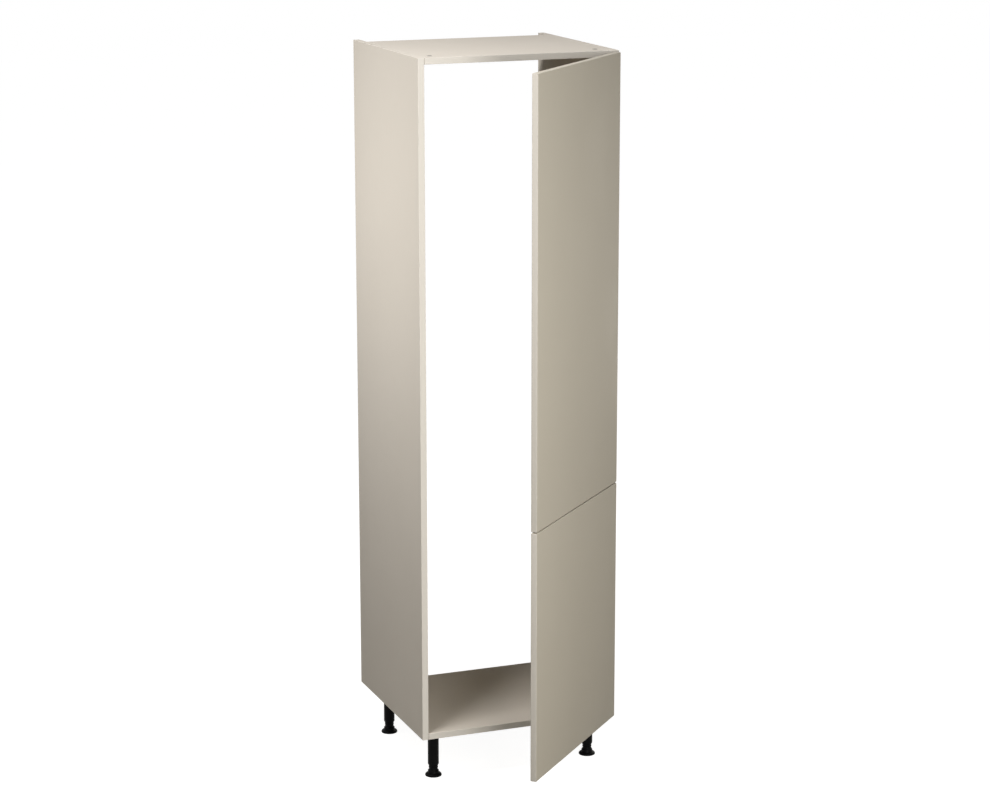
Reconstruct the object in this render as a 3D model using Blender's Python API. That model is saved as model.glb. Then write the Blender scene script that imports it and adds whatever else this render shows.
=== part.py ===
"""A tall fridge housing: an open carcass on four legs, with two slab doors on concealed hinges.

Lengths are in metres. X runs to the right, Y to the back and Z up, with the floor at zero.
The carcass and the hinges are drawn with the doors shut. Empties on the hinge pins then turn
the doors and links to the resting pose, where both doors stand ajar.
Hinge sizes are measured inboard from the inner face of the hinge-side panel, and forward
from the front edges of the carcass.
"""

import math

import bmesh
import bpy
from mathutils import Matrix, Vector

# Carcass boards
CARCASS_WIDTH = 0.600
CARCASS_HEIGHT = 1.970
CARCASS_DEPTH = 0.560
BOARD = 0.018
DECK_DEPTH = 0.492
EDGING = 0.001
BOARD_ARRIS = 0.0004
# Clearance between a piece and its seat, and the overrun of cutting tools
SEAT = 0.0003
OVERRUN = 0.002
# Facets of each rounded corner of a pressed or moulded plate
CORNER_STEPS = 3

# Cam fittings in the top and bottom boards
CAM_DIAMETER = 0.0150
CAM_DEPTH = 0.0125
CAM_END_INSET = 0.0340
CAM_FRONT_INSET = 0.0520
CAM_SLOT_LENGTH = 0.0090
CAM_SLOT_WIDTH = 0.0022
CAM_SLOT_DEPTH = 0.0025
CAM_SIDES = 20
# Pilot hole near the back of the top board, for a bracket to the wall
PILOT_DIAMETER = 0.0050
PILOT_DEPTH = 0.0120
PILOT_BACK_INSET = 0.0354
PILOT_OFFSET = 0.1035
PILOT_SIDES = 12

# Doors
DOOR_THICKNESS = 0.018
DOOR_SIDE_REVEAL = 0.002
DOOR_BOTTOM_REVEAL = 0.003
DOOR_TOP_REVEAL = 0.004
DOOR_SPLIT = 0.003
LOWER_DOOR_HEIGHT = 0.715
DOOR_GAP = 0.0025
DOOR_EDGE_RADIUS = 0.002
DOOR_EDGE_STEPS = 3
DOOR_AJAR = math.radians(45)

# Legs
LEG_HEIGHT = 0.136
LEG_SIDE_INSET = 0.0554
LEG_FRONT_INSET = 0.0645
LEG_BACK_INSET = 0.0325
SOCKET_PLATE = 0.060
SOCKET_PLATE_THICKNESS = 0.003
SOCKET_CORNER_RADIUS = 0.010
SOCKET_DEPTH = 0.018
SOCKET_WALL = 0.0025
TUBE_DIAMETER = 0.0304
TUBE_LENGTH = 0.0975
TUBE_WALL = 0.0014
TUBE_LIP = 0.0020
TUBE_LIP_CHAMFER = 0.0016
NECK_DIAMETER = 0.0258
NECK_VISIBLE = 0.0140
NECK_ENGAGEMENT = 0.045
NECK_RINGS = 3
NECK_RING = 0.0005
NECK_RING_WIDTH = 0.0020
NECK_RING_PITCH = 0.0040
COLLAR_DIAMETER = 0.0327
COLLAR_HEIGHT = 0.0105
COLLAR_FLARE_SHARE = 0.55
FOOT_DIAMETER = 0.0490
FOOT_RIM = 0.0022
FOOT_RIM_ROUND = 0.0008
LEG_SIDES = 20
DOME_STEPS = 3

# Hinges: how far each stands from the end of its door, and its cup and plate
HINGE_END_INSET = 0.100
CUP_DIAMETER = 0.035
CUP_WALL = 0.0009
CUP_DEPTH = 0.0123
CUP_FLOOR = 0.0006
CUP_DOOR_INSET = 0.0215
CUP_SIDES = 24
FLANGE_WIDTH = 0.016
FLANGE_LENGTH = 0.062
FLANGE_THICKNESS = 0.0012
FLANGE_CORNER_RADIUS = 0.005
PLATE_SETBACK = 0.037
PLATE_SPAN = 0.050
PLATE_WIDTH = 0.017
PLATE_THICKNESS = 0.0020
PLATE_CORNER_RADIUS = 0.006
RAIL_LENGTH = 0.034
ARM_BACK = 0.062
ARM_WIDTH = 0.0156
ARM_WALL = 0.0013
ARM_TOP = 0.0112
ARM_FOOT_CLEARANCE = 0.0008
ARM_WEB_FRONT = 0.018
ARM_REAR_RADIUS = 0.003
# Screw heads on the hinges: pan heads on the wings and flange, and the arm's own two screws
SCREW_HEAD_DIAMETER = 0.0070
SCREW_HEAD_HEIGHT = 0.0014
SCREW_CROWN_SHARE = 0.6
SCREW_SIDES = 8
PLATE_SCREW_SPAN = 0.032
FLANGE_SCREW_SPAN = 0.048
ARM_FIXING_SCREW_SETBACK = 0.050
ARM_ADJUSTING_SCREW_SETBACK = 0.028

# Hinge pins, with the door shut: inboard of the side panel, and forward of the carcass or,
# with a minus, behind its front edges
ARM_OUTER_PIN_INBOARD = 0.0073
ARM_OUTER_PIN_FORWARD = -0.0100
ARM_INNER_PIN_INBOARD = 0.0131
ARM_INNER_PIN_FORWARD = -0.0045
# The cup's pin, inboard of the door's edge and in from its back face
CUP_PIN_INSET = 0.0088
CUP_PIN_DEPTH = 0.0057
# The free end of the inner link, measured the same way
TIP_INSET = 0.0092
TIP_DEPTH = 0.0095
PIN_DIAMETER = 0.0024
PIN_PLAY = 0.0002
EYE_DIAMETER = 0.0044
LINK_THICKNESS = 0.0020
OUTER_LINK_WIDTH = 0.0108
OUTER_LINK_CHEEK = 0.0016
INNER_LINK_WIDTH = 0.0064
TIP_END_PLAY = 0.0010
EYE_SIDES = 12
# Bends of the links, as shares of the way between their pins: along it, then square to it
OUTER_BEND_SHARES = ((0.041, 0.330), (0.229, 0.414))
INNER_BEND_SHARES = ((0.251, 0.240), (0.507, 0.277))
BEND_ROUNDS = 2
CORNER_CUT_SHARE = 0.25
# How far the links turn for each turn of the door
OUTER_TURN_SHARE = -0.3209
INNER_TURN_SHARE = -0.2239

CARCASS_BOTTOM = LEG_HEIGHT
PANEL_INNER_X = CARCASS_WIDTH / 2 - BOARD
DOOR_WIDTH = CARCASS_WIDTH - 2 * DOOR_SIDE_REVEAL
DOOR_EDGE_INBOARD = DOOR_SIDE_REVEAL - BOARD
UPPER_DOOR_HEIGHT = (
    CARCASS_HEIGHT - DOOR_BOTTOM_REVEAL - LOWER_DOOR_HEIGHT - DOOR_SPLIT - DOOR_TOP_REVEAL
)
LOWER_DOOR_BOTTOM = CARCASS_BOTTOM + DOOR_BOTTOM_REVEAL
UPPER_DOOR_BOTTOM = LOWER_DOOR_BOTTOM + LOWER_DOOR_HEIGHT + DOOR_SPLIT

ARM_OUTER_PIN = Vector((ARM_OUTER_PIN_INBOARD, ARM_OUTER_PIN_FORWARD))
ARM_INNER_PIN = Vector((ARM_INNER_PIN_INBOARD, ARM_INNER_PIN_FORWARD))
CUP_PIN = Vector((DOOR_EDGE_INBOARD + CUP_PIN_INSET, DOOR_GAP + CUP_PIN_DEPTH))
LINK_TIP = Vector((DOOR_EDGE_INBOARD + TIP_INSET, DOOR_GAP + TIP_DEPTH))
CUP_CENTRE_INBOARD = DOOR_EDGE_INBOARD + CUP_DOOR_INSET


def clear_scene():
    for obj in list(bpy.data.objects):
        bpy.data.objects.remove(obj)


def finish(name, colour, roughness, metallic=0.0):
    material = bpy.data.materials.new(name)
    material.use_nodes = True
    shader = material.node_tree.nodes["Principled BSDF"]
    shader.inputs["Base Color"].default_value = (*colour, 1.0)
    shader.inputs["Roughness"].default_value = roughness
    shader.inputs["Metallic"].default_value = metallic
    return material


def finishes():
    return {
        "board": finish("melamine_board", (0.62, 0.57, 0.51), 0.55),
        "edging": finish("matching_edging", (0.66, 0.61, 0.55), 0.45),
        "door": finish("painted_door", (0.62, 0.57, 0.50), 0.50),
        "leg": finish("black_leg_plastic", (0.012, 0.012, 0.013), 0.45),
        "steel": finish("plated_hinge_steel", (0.62, 0.62, 0.63), 0.28, 1.0),
        "cam": finish("zinc_cam", (0.35, 0.35, 0.36), 0.45, 1.0),
    }


def add_object(name, mesh, material=None):
    obj = bpy.data.objects.new(name, mesh)
    bpy.context.scene.collection.objects.link(obj)
    if material is not None:
        mesh.materials.clear()
        mesh.materials.append(material)
    return obj


def mesh_from(name, bm):
    bmesh.ops.recalc_face_normals(bm, faces=bm.faces)
    mesh = bpy.data.meshes.new(name)
    bm.to_mesh(mesh)
    bm.free()
    return mesh


def block(name, low, high):
    """A box between two corners."""
    low, high = Vector(low), Vector(high)
    bm = bmesh.new()
    bmesh.ops.create_cube(bm, size=1)
    bmesh.ops.scale(bm, vec=high - low, verts=bm.verts)
    bmesh.ops.translate(bm, vec=(low + high) / 2, verts=bm.verts)
    return mesh_from(name, bm)


def extrusion(name, outline, low, high, axis="Z"):
    """An outline drawn in two directions, extruded along the third between two heights."""
    place = {
        "Z": lambda a, b, c: (a, b, c),
        "X": lambda a, b, c: (c, a, b),
        "Y": lambda a, b, c: (a, c, b),
    }[axis]
    bm = bmesh.new()
    face = bm.faces.new([bm.verts.new(place(a, b, low)) for a, b in outline])
    grown = bmesh.ops.extrude_face_region(bm, geom=[face])["geom"]
    moved = [item for item in grown if isinstance(item, bmesh.types.BMVert)]
    bmesh.ops.translate(bm, vec=place(0, 0, high - low), verts=moved)
    return mesh_from(name, bm)


def turned(name, profile, sides):
    """A closed profile of (radius, height) points, turned about Z."""
    bm = bmesh.new()
    points = [bm.verts.new((radius, 0, height)) for radius, height in profile]
    edges = [bm.edges.new(pair) for pair in zip(points, points[1:])]
    bmesh.ops.spin(
        bm, geom=points + edges, cent=(0, 0, 0), axis=(0, 0, 1), angle=math.tau,
        steps=sides, use_duplicate=False,
    )
    bmesh.ops.remove_doubles(bm, verts=bm.verts, dist=SEAT / 10)
    return mesh_from(name, bm)


def rod(name, centre, radius, low, high, sides):
    """A cylinder along Z."""
    outline = circle(centre, radius, sides)
    return extrusion(name, outline, low, high)


def circle(centre, radius, sides):
    turns = [math.tau * step / sides for step in range(sides)]
    return [(centre[0] + radius * math.cos(t), centre[1] + radius * math.sin(t)) for t in turns]


def rounded_rectangle(low, high, radius):
    """Corner arcs joined into an outline, anticlockwise."""
    centres = [
        (high[0] - radius, high[1] - radius),
        (low[0] + radius, high[1] - radius),
        (low[0] + radius, low[1] + radius),
        (high[0] - radius, low[1] + radius),
    ]
    points = []
    for quarter, (x, y) in enumerate(centres):
        for step in range(CORNER_STEPS + 1):
            angle = math.pi / 2 * (quarter + step / CORNER_STEPS)
            points.append((x + radius * math.cos(angle), y + radius * math.sin(angle)))
    return points


def hull_of(points):
    """The points on the outside of a set, anticlockwise."""
    ordered = sorted(set(points))

    def half(sequence):
        chain = []
        for p in sequence:
            while len(chain) > 1:
                a, b = chain[-2], chain[-1]
                if (b[0] - a[0]) * (p[1] - a[1]) - (b[1] - a[1]) * (p[0] - a[0]) > 0:
                    break
                chain.pop()
            chain.append(p)
        return chain[:-1]

    return half(ordered) + half(reversed(ordered))


def shaped(name, base, cutters=(), joined=(), within=(), smooth=math.radians(35)):
    """A base joined to some meshes, less the cutters, and kept within others."""
    work = add_object(name, base)
    helpers = []
    steps = (("UNION", joined), ("DIFFERENCE", cutters), ("INTERSECT", within))
    for operation, meshes in steps:
        for mesh in meshes:
            helper = add_object(mesh.name, mesh)
            helper.hide_render = True
            helper.display_type = "WIRE"
            modifier = work.modifiers.new(operation.lower(), "BOOLEAN")
            modifier.operation = operation
            modifier.solver = "EXACT"
            modifier.object = helper
            helpers.append(helper)
    bpy.context.view_layer.update()
    evaluated = work.evaluated_get(bpy.context.evaluated_depsgraph_get())
    mesh = bpy.data.meshes.new_from_object(evaluated)
    mesh.name = name
    for obj in [work, *helpers]:
        bpy.data.objects.remove(obj)
    if smooth:
        mesh.shade_smooth()
        mesh.set_sharp_from_angle(angle=smooth)
    return mesh


def soften(obj, width, steps=1):
    """Rounds an object's edges with a bevel."""
    modifier = obj.modifiers.new("softened_edges", "BEVEL")
    modifier.width = width
    modifier.segments = steps
    modifier.limit_method = "ANGLE"
    modifier.angle_limit = math.radians(40)


def door_reach():
    """How far the open edge of a door stands in front of the carcass, with the door ajar."""
    pin = ARM_OUTER_PIN + turn(CUP_PIN - ARM_OUTER_PIN, OUTER_TURN_SHARE * DOOR_AJAR)
    arc_centre = Vector(
        (
            DOOR_EDGE_INBOARD + DOOR_WIDTH - DOOR_EDGE_RADIUS,
            DOOR_GAP + DOOR_THICKNESS - DOOR_EDGE_RADIUS,
        )
    )
    return (pin + turn(arc_centre - CUP_PIN, DOOR_AJAR)).y + DOOR_EDGE_RADIUS


def turn(vector, angle):
    return Vector(
        (
            vector.x * math.cos(angle) - vector.y * math.sin(angle),
            vector.x * math.sin(angle) + vector.y * math.cos(angle),
        )
    )


def add_axis(name, place, parent=None, angle=0.0):
    """An empty whose origin, given for shut doors, is the axis that pieces turn about."""
    axis = bpy.data.objects.new(name, None)
    bpy.context.scene.collection.objects.link(axis)
    axis["shut_place"] = place
    axis.parent = parent
    axis.location = Vector(place) - Vector(parent["shut_place"] if parent else (0, 0, 0))
    axis.rotation_euler = (0, 0, angle)
    return axis


def hang(obj, axis, place=(0, 0, 0)):
    """Parents an object to an axis, so that it stands at its place when the doors are shut."""
    obj.parent = axis
    obj.location = Vector(place) - Vector(axis["shut_place"])
    return obj


def take_out(obj, cutter_mesh, axis):
    """Cuts a mesh out of an object that keeps its modifiers."""
    cutter = hang(add_object(cutter_mesh.name, cutter_mesh), axis)
    cutter.hide_render = True
    cutter.display_type = "WIRE"
    modifier = obj.modifiers.new("cut", "BOOLEAN")
    modifier.operation = "DIFFERENCE"
    modifier.solver = "EXACT"
    modifier.object = cutter


def make_side_panel(name, side, unit, skins):
    """A full-height side board, with its own strip of edging on the front."""
    outer, inner = side * CARCASS_WIDTH / 2, side * PANEL_INNER_X
    low, high = min(outer, inner), max(outer, inner)
    top = CARCASS_BOTTOM + CARCASS_HEIGHT
    mesh = block(name, (low, EDGING + SEAT, CARCASS_BOTTOM), (high, CARCASS_DEPTH, top))
    panel = add_object(name + "_panel", mesh, skins["board"])
    soften(panel, BOARD_ARRIS)
    hang(panel, unit)
    mesh = block(name + "_edging", (low, 0, CARCASS_BOTTOM), (high, EDGING, top))
    strip = add_object(name + "_edging", mesh, skins["edging"])
    soften(strip, BOARD_ARRIS)
    hang(strip, unit)


def cam_places():
    """Where the cams stand: near both ends of a deck, behind its front edge."""
    reach = PANEL_INNER_X - CAM_END_INSET
    return [("left", -reach), ("right", reach)]


def make_deck(name, bottom, cam_face, unit, skins):
    """The top or bottom board, let in between the sides, with cams sunk into one face."""
    half = PANEL_INNER_X - SEAT
    low = (-half, EDGING + SEAT, bottom)
    high = (half, DECK_DEPTH, bottom + BOARD)
    deck = add_object(name + "_panel", block(name, low, high), skins["board"])
    soften(deck, BOARD_ARRIS)
    outside = bottom + BOARD if cam_face > 0 else bottom
    for end, x in cam_places():
        floor = outside - cam_face * CAM_DEPTH
        ends = sorted((floor, outside + cam_face * OVERRUN))
        radius = CAM_DIAMETER / 2 + SEAT
        bore = rod(f"{name}_{end}_bore", (x, CAM_FRONT_INSET), radius, *ends, CAM_SIDES)
        take_out(deck, bore, unit)
    if cam_face > 0:
        centre = (PILOT_OFFSET, DECK_DEPTH - PILOT_BACK_INSET)
        ends = (outside - PILOT_DEPTH, outside + OVERRUN)
        take_out(deck, rod("pilot_hole", centre, PILOT_DIAMETER / 2, *ends, PILOT_SIDES), unit)
    hang(deck, unit)
    mesh = block(name + "_edging", (-half, 0, bottom), (half, EDGING, bottom + BOARD))
    strip = add_object(name + "_edging", mesh, skins["edging"])
    soften(strip, BOARD_ARRIS)
    hang(strip, unit)
    mesh = make_cam_mesh(cam_face)
    for end, x in cam_places():
        cam = add_object(f"{name}_{end}_cam", mesh, skins["cam"])
        hang(cam, unit, (x, CAM_FRONT_INSET, outside))


def make_cam_mesh(face):
    """A cam fitting, flush with its face, with a cross slot for the driver."""
    ends = sorted((-face * (CAM_DEPTH - SEAT), 0))
    drum = rod("cam", (0, 0), CAM_DIAMETER / 2, *ends, CAM_SIDES)
    slots = []
    long_half, short_half = CAM_SLOT_LENGTH / 2, CAM_SLOT_WIDTH / 2
    for across, along in ((long_half, short_half), (short_half, long_half)):
        heights = sorted((-face * CAM_SLOT_DEPTH, face * OVERRUN))
        slots.append(
            block("cam_slot", (-across, -along, heights[0]), (across, along, heights[1]))
        )
    return shaped("cam", drum, cutters=slots)


def make_carcass(unit, skins):
    make_side_panel("left", -1, unit, skins)
    make_side_panel("right", 1, unit, skins)
    make_deck("top", CARCASS_BOTTOM + CARCASS_HEIGHT - BOARD, 1, unit, skins)
    make_deck("bottom", CARCASS_BOTTOM, -1, unit, skins)


def leg_places():
    """Name, X and Y of each leg."""
    x = CARCASS_WIDTH / 2 - LEG_SIDE_INSET
    places = []
    for row, y in (("front", LEG_FRONT_INSET), ("back", DECK_DEPTH - LEG_BACK_INSET)):
        places += [(f"{row}_left", -x, y), (f"{row}_right", x, y)]
    return places


def make_socket_mesh():
    """A square plate under the carcass, with a round socket that holds the tube."""
    half = SOCKET_PLATE / 2
    outline = rounded_rectangle((-half, -half), (half, half), SOCKET_CORNER_RADIUS)
    under = -SEAT - SOCKET_PLATE_THICKNESS
    in_plate = under + SOCKET_PLATE_THICKNESS / 2
    plate = extrusion("socket", outline, under, -SEAT)
    bore = TUBE_DIAMETER / 2 + SEAT
    barrel = rod("barrel", (0, 0), bore + SOCKET_WALL, -SOCKET_DEPTH, in_plate, LEG_SIDES)
    hollow = rod("hollow", (0, 0), bore, -SOCKET_DEPTH - OVERRUN, under, LEG_SIDES)
    return shaped("socket", plate, cutters=[hollow], joined=[barrel])


def tube_top():
    return -SEAT - SOCKET_PLATE_THICKNESS - SEAT


def make_tube_mesh():
    """The plain upper tube, open below for the foot and closed above."""
    top = tube_top()
    bottom = top - TUBE_LENGTH
    outer = TUBE_DIAMETER / 2
    bore = outer - TUBE_WALL
    mouth = NECK_DIAMETER / 2 + NECK_RING + SEAT
    profile = [
        (0, top),
        (outer, top),
        (outer, bottom + TUBE_LIP_CHAMFER),
        (outer - TUBE_LIP_CHAMFER / 2, bottom),
        (mouth, bottom),
        (mouth, bottom + TUBE_LIP),
        (bore, bottom + 2 * TUBE_LIP),
        (bore, top - TUBE_WALL),
        (0, top - TUBE_WALL),
    ]
    return rounded_turning("tube", profile)


def make_foot_mesh():
    """The adjustable foot: a ringed neck, a flared collar and a domed base."""
    neck = NECK_DIAMETER / 2
    collar = COLLAR_DIAMETER / 2
    base = FOOT_DIAMETER / 2
    collar_top = tube_top() - TUBE_LENGTH - NECK_VISIBLE
    collar_bottom = collar_top - COLLAR_HEIGHT
    floor = -LEG_HEIGHT
    rim_top = floor + FOOT_RIM
    profile = [(0, collar_top + NECK_ENGAGEMENT), (neck, collar_top + NECK_ENGAGEMENT)]
    neck_middle = collar_top + NECK_VISIBLE / 2
    for ring in reversed(range(NECK_RINGS)):
        height = neck_middle + (ring - (NECK_RINGS - 1) / 2) * NECK_RING_PITCH
        profile += [
            (neck, height + NECK_RING_WIDTH / 2),
            (neck + NECK_RING, height),
            (neck, height - NECK_RING_WIDTH / 2),
        ]
    profile += [
        (neck, collar_top),
        (collar, collar_bottom + COLLAR_HEIGHT * COLLAR_FLARE_SHARE),
        (collar, collar_bottom),
    ]
    for step in range(1, DOME_STEPS + 1):
        angle = math.pi / 2 * step / DOME_STEPS
        radius = collar + (base - collar) * math.sin(angle)
        profile.append((radius, rim_top + (collar_bottom - rim_top) * math.cos(angle)))
    profile += [(base, floor + FOOT_RIM_ROUND), (base - FOOT_RIM_ROUND, floor), (0, floor)]
    return rounded_turning("foot", profile)


def rounded_turning(name, profile):
    mesh = turned(name, profile, LEG_SIDES)
    mesh.shade_smooth()
    mesh.set_sharp_from_angle(angle=math.radians(35))
    return mesh


def make_legs(unit, skins):
    meshes = {"socket": make_socket_mesh(), "tube": make_tube_mesh(), "foot": make_foot_mesh()}
    for place, x, y in leg_places():
        for piece, mesh in meshes.items():
            leg = add_object(f"{place}_leg_{piece}", mesh, skins["leg"])
            hang(leg, unit, (x, y, CARCASS_BOTTOM))


def drawn(point):
    """A place inboard and forward, as X and Y of a hinge on the right-hand side."""
    return (-point[0], -point[1])


def screw_head(centre, height):
    """A pan head that stands on a face at some height, and sinks a little into it."""
    radius = SCREW_HEAD_DIAMETER / 2
    top = height + SCREW_HEAD_HEIGHT
    profile = [
        (0, height - SEAT),
        (radius, height - SEAT),
        (radius, height + SCREW_HEAD_HEIGHT / 2),
        (radius * SCREW_CROWN_SHARE, top),
        (0, top),
    ]
    head = turned("screw_head", profile, SCREW_SIDES)
    head.transform(Matrix.Translation((centre[0], centre[1], 0)))
    return head


def side_screw_head(setback, z, inboard):
    """A pan head facing into the cabinet, at a height inboard of the side panel."""
    head = screw_head((0, 0), inboard)
    head.transform(Matrix.Translation((0, setback, z)) @ Matrix.Rotation(-math.pi / 2, 4, "Y"))
    return head


def make_plate_mesh():
    """The mounting plate: wings screwed to the side panel and a rail that carries the arm."""
    back, front = PLATE_SETBACK - PLATE_WIDTH / 2, PLATE_SETBACK + PLATE_WIDTH / 2
    outline = rounded_rectangle(
        (back, -PLATE_SPAN / 2), (front, PLATE_SPAN / 2), PLATE_CORNER_RADIUS
    )
    wings = extrusion("plate", outline, -SEAT - PLATE_THICKNESS, -SEAT, axis="X")
    half = ARM_WIDTH / 2 - ARM_WALL - SEAT
    rail = block(
        "rail",
        (-(ARM_TOP - ARM_WALL - SEAT), PLATE_SETBACK - RAIL_LENGTH / 2, -half),
        (-SEAT - PLATE_THICKNESS / 2, PLATE_SETBACK + RAIL_LENGTH / 2, half),
    )
    ends = (-PLATE_SCREW_SPAN / 2, PLATE_SCREW_SPAN / 2)
    screws = [side_screw_head(PLATE_SETBACK, z, SEAT + PLATE_THICKNESS) for z in ends]
    return shaped("plate", wings, joined=[rail, *screws])


def make_arm_mesh():
    """The arm: a channel over the rail, whose cheeks run forward to carry both fixed pins."""
    low = SEAT + PLATE_THICKNESS + ARM_FOOT_CLEARANCE
    back = -ARM_BACK + ARM_REAR_RADIUS
    boss = EYE_DIAMETER / 2
    rounds = (
        ((low + ARM_REAR_RADIUS, back), ARM_REAR_RADIUS),
        ((ARM_TOP - ARM_REAR_RADIUS, back), ARM_REAR_RADIUS),
        (ARM_OUTER_PIN, boss),
        (ARM_INNER_PIN, boss),
    )
    points = [point for centre, radius in rounds for point in circle(centre, radius, EYE_SIDES)]
    outline = [drawn(point) for point in hull_of(points)]
    half = ARM_WIDTH / 2
    body = extrusion("arm", outline, -half, half)
    inside = half - ARM_WALL
    reach = ARM_BACK + CUP_DIAMETER
    nose = block("nose_slot", (-reach, -reach, -inside), (reach, ARM_WEB_FRONT, inside))
    channel = block("channel", (-(ARM_TOP - ARM_WALL), 0, -inside), (reach, reach, inside))
    shoulder = [
        (ARM_TOP, -reach),
        (ARM_TOP, -ARM_WEB_FRONT),
        (reach, reach - ARM_TOP - ARM_WEB_FRONT),
        (reach, -reach),
    ]
    wide = half + OVERRUN
    over_web = extrusion("over_web", [drawn(point) for point in shoulder], -wide, wide)
    pin_half = half - ARM_WALL / 2
    pins = [
        rod("pin", drawn(pin), PIN_DIAMETER / 2, -pin_half, pin_half, EYE_SIDES)
        for pin in (ARM_OUTER_PIN, ARM_INNER_PIN)
    ]
    hollowed = shaped("arm", body, cutters=[over_web, nose, channel], smooth=0)
    screws = [
        side_screw_head(setback, 0, ARM_TOP)
        for setback in (ARM_FIXING_SCREW_SETBACK, ARM_ADJUSTING_SCREW_SETBACK)
    ]
    return shaped("arm", hollowed, joined=pins + screws)


def cut_corners(line):
    """The line with each corner replaced by two gentler ones, and its ends kept."""
    eased = [line[0]]
    for a, b in zip(line, line[1:]):
        eased += [a.lerp(b, CORNER_CUT_SHARE), b.lerp(a, CORNER_CUT_SHARE)]
    return [*eased, line[-1]]


def bent_strap(start, end, bends):
    """The outline of a strap of even thickness along a smooth bent line between two pins."""
    way = end - start
    across = Vector((-way.y, way.x))
    line = [start, *[start + way * along + across * off for along, off in bends], end]
    for _ in range(BEND_ROUNDS):
        line = cut_corners(line)
    sides = ([], [])
    for index, point in enumerate(line):
        before, after = line[max(index - 1, 0)], line[min(index + 1, len(line) - 1)]
        along = (after - before).normalized()
        offset = Vector((-along.y, along.x)) * LINK_THICKNESS / 2
        sides[0].append(drawn(point + offset))
        sides[1].append(drawn(point - offset))
    return sides[0] + sides[1][::-1]


def make_outer_link_mesh():
    """The outer link: two bent cheeks, joined by the barrels that turn on its pins."""
    half = OUTER_LINK_WIDTH / 2
    strap = bent_strap(CUP_PIN, ARM_OUTER_PIN, OUTER_BEND_SHARES)
    inner = half - OUTER_LINK_CHEEK
    cheek = extrusion("outer_link", strap, inner, half)
    other = extrusion("cheek", strap, -half, -inner)
    barrels, bores = [], []
    for pin in (ARM_OUTER_PIN, CUP_PIN):
        barrels.append(rod("barrel", drawn(pin), EYE_DIAMETER / 2, -half, half, EYE_SIDES))
        bore = PIN_DIAMETER / 2 + PIN_PLAY
        bores.append(rod("bore", drawn(pin), bore, -half - OVERRUN, half + OVERRUN, EYE_SIDES))
    return shaped("outer_link", barrels[0], cutters=bores, joined=[cheek, other, barrels[1]])


def tip_pin_half():
    """Half the length of the tip's pin, which stops short of the cup's wall at both ends."""
    offset = CUP_DOOR_INSET - TIP_INSET + PIN_DIAMETER / 2
    inside = CUP_DIAMETER / 2 - CUP_WALL
    chord = math.sqrt(max(inside**2 - offset**2, 0))
    return max(chord - TIP_END_PLAY, INNER_LINK_WIDTH / 2 + PIN_PLAY)


def make_inner_link_mesh():
    """The inner link, narrow enough to swing between the cheeks of the outer one."""
    half, pin_half = INNER_LINK_WIDTH / 2, tip_pin_half()
    outline = bent_strap(LINK_TIP, ARM_INNER_PIN, INNER_BEND_SHARES)
    strap = extrusion("inner_link", outline, -half, half)
    eye = rod("eye", drawn(ARM_INNER_PIN), EYE_DIAMETER / 2, -half, half, EYE_SIDES)
    pin = rod("tip_pin", drawn(LINK_TIP), PIN_DIAMETER / 2, -pin_half, pin_half, EYE_SIDES)
    bore = PIN_DIAMETER / 2 + PIN_PLAY
    hole = rod("bore", drawn(ARM_INNER_PIN), bore, -half - OVERRUN, half + OVERRUN, EYE_SIDES)
    return shaped("inner_link", strap, cutters=[hole], joined=[eye, pin])


def make_cup_mesh():
    """The cup: a round pot sunk into the door, with a flange on the door's back and one pin."""
    outer = CUP_DIAMETER / 2
    inner = outer - CUP_WALL
    rim = SEAT + FLANGE_THICKNESS
    bottom = CUP_DEPTH + CUP_FLOOR
    pot = turned("cup", [(0, -bottom), (outer, -bottom), (outer, rim), (0, rim)], CUP_SIDES)
    half_width, half_length = FLANGE_WIDTH / 2, FLANGE_LENGTH / 2
    outline = rounded_rectangle(
        (-half_width, -half_length), (half_width, half_length), FLANGE_CORNER_RADIUS
    )
    flange = extrusion("flange", outline, SEAT, rim)
    hollow = rod("hollow", (0, 0), inner, -CUP_DEPTH, rim + OVERRUN, CUP_SIDES)
    reach = outer + OVERRUN
    trims = [
        block("trim", (-reach, -reach, 0), (-half_width, reach, rim + OVERRUN)),
        block("trim", (half_width, -reach, 0), (reach, reach, rim + OVERRUN)),
    ]
    body = shaped("cup", pot, cutters=[hollow, *trims], joined=[flange], smooth=0)
    outline = circle((CUP_DOOR_INSET - CUP_PIN_INSET, -CUP_PIN_DEPTH), PIN_DIAMETER / 2, EYE_SIDES)
    long_pin = extrusion("cup_pin", outline, -outer, outer, axis="Y")
    wall_middle = rod("wall_middle", (0, 0), (inner + outer) / 2, -bottom, rim, CUP_SIDES)
    pin = shaped("cup_pin", long_pin, within=[wall_middle], smooth=0)
    screws = [screw_head((0, y), rim) for y in (-FLANGE_SCREW_SPAN / 2, FLANGE_SCREW_SPAN / 2)]
    return shaped("cup", body, joined=[pin, *screws])


def hinge_heights(bottom, height, count):
    """Evenly spaced heights of a door's hinges, between its two end insets."""
    span = height - 2 * HINGE_END_INSET
    return [bottom + HINGE_END_INSET + span * index / (count - 1) for index in range(count)]


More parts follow.
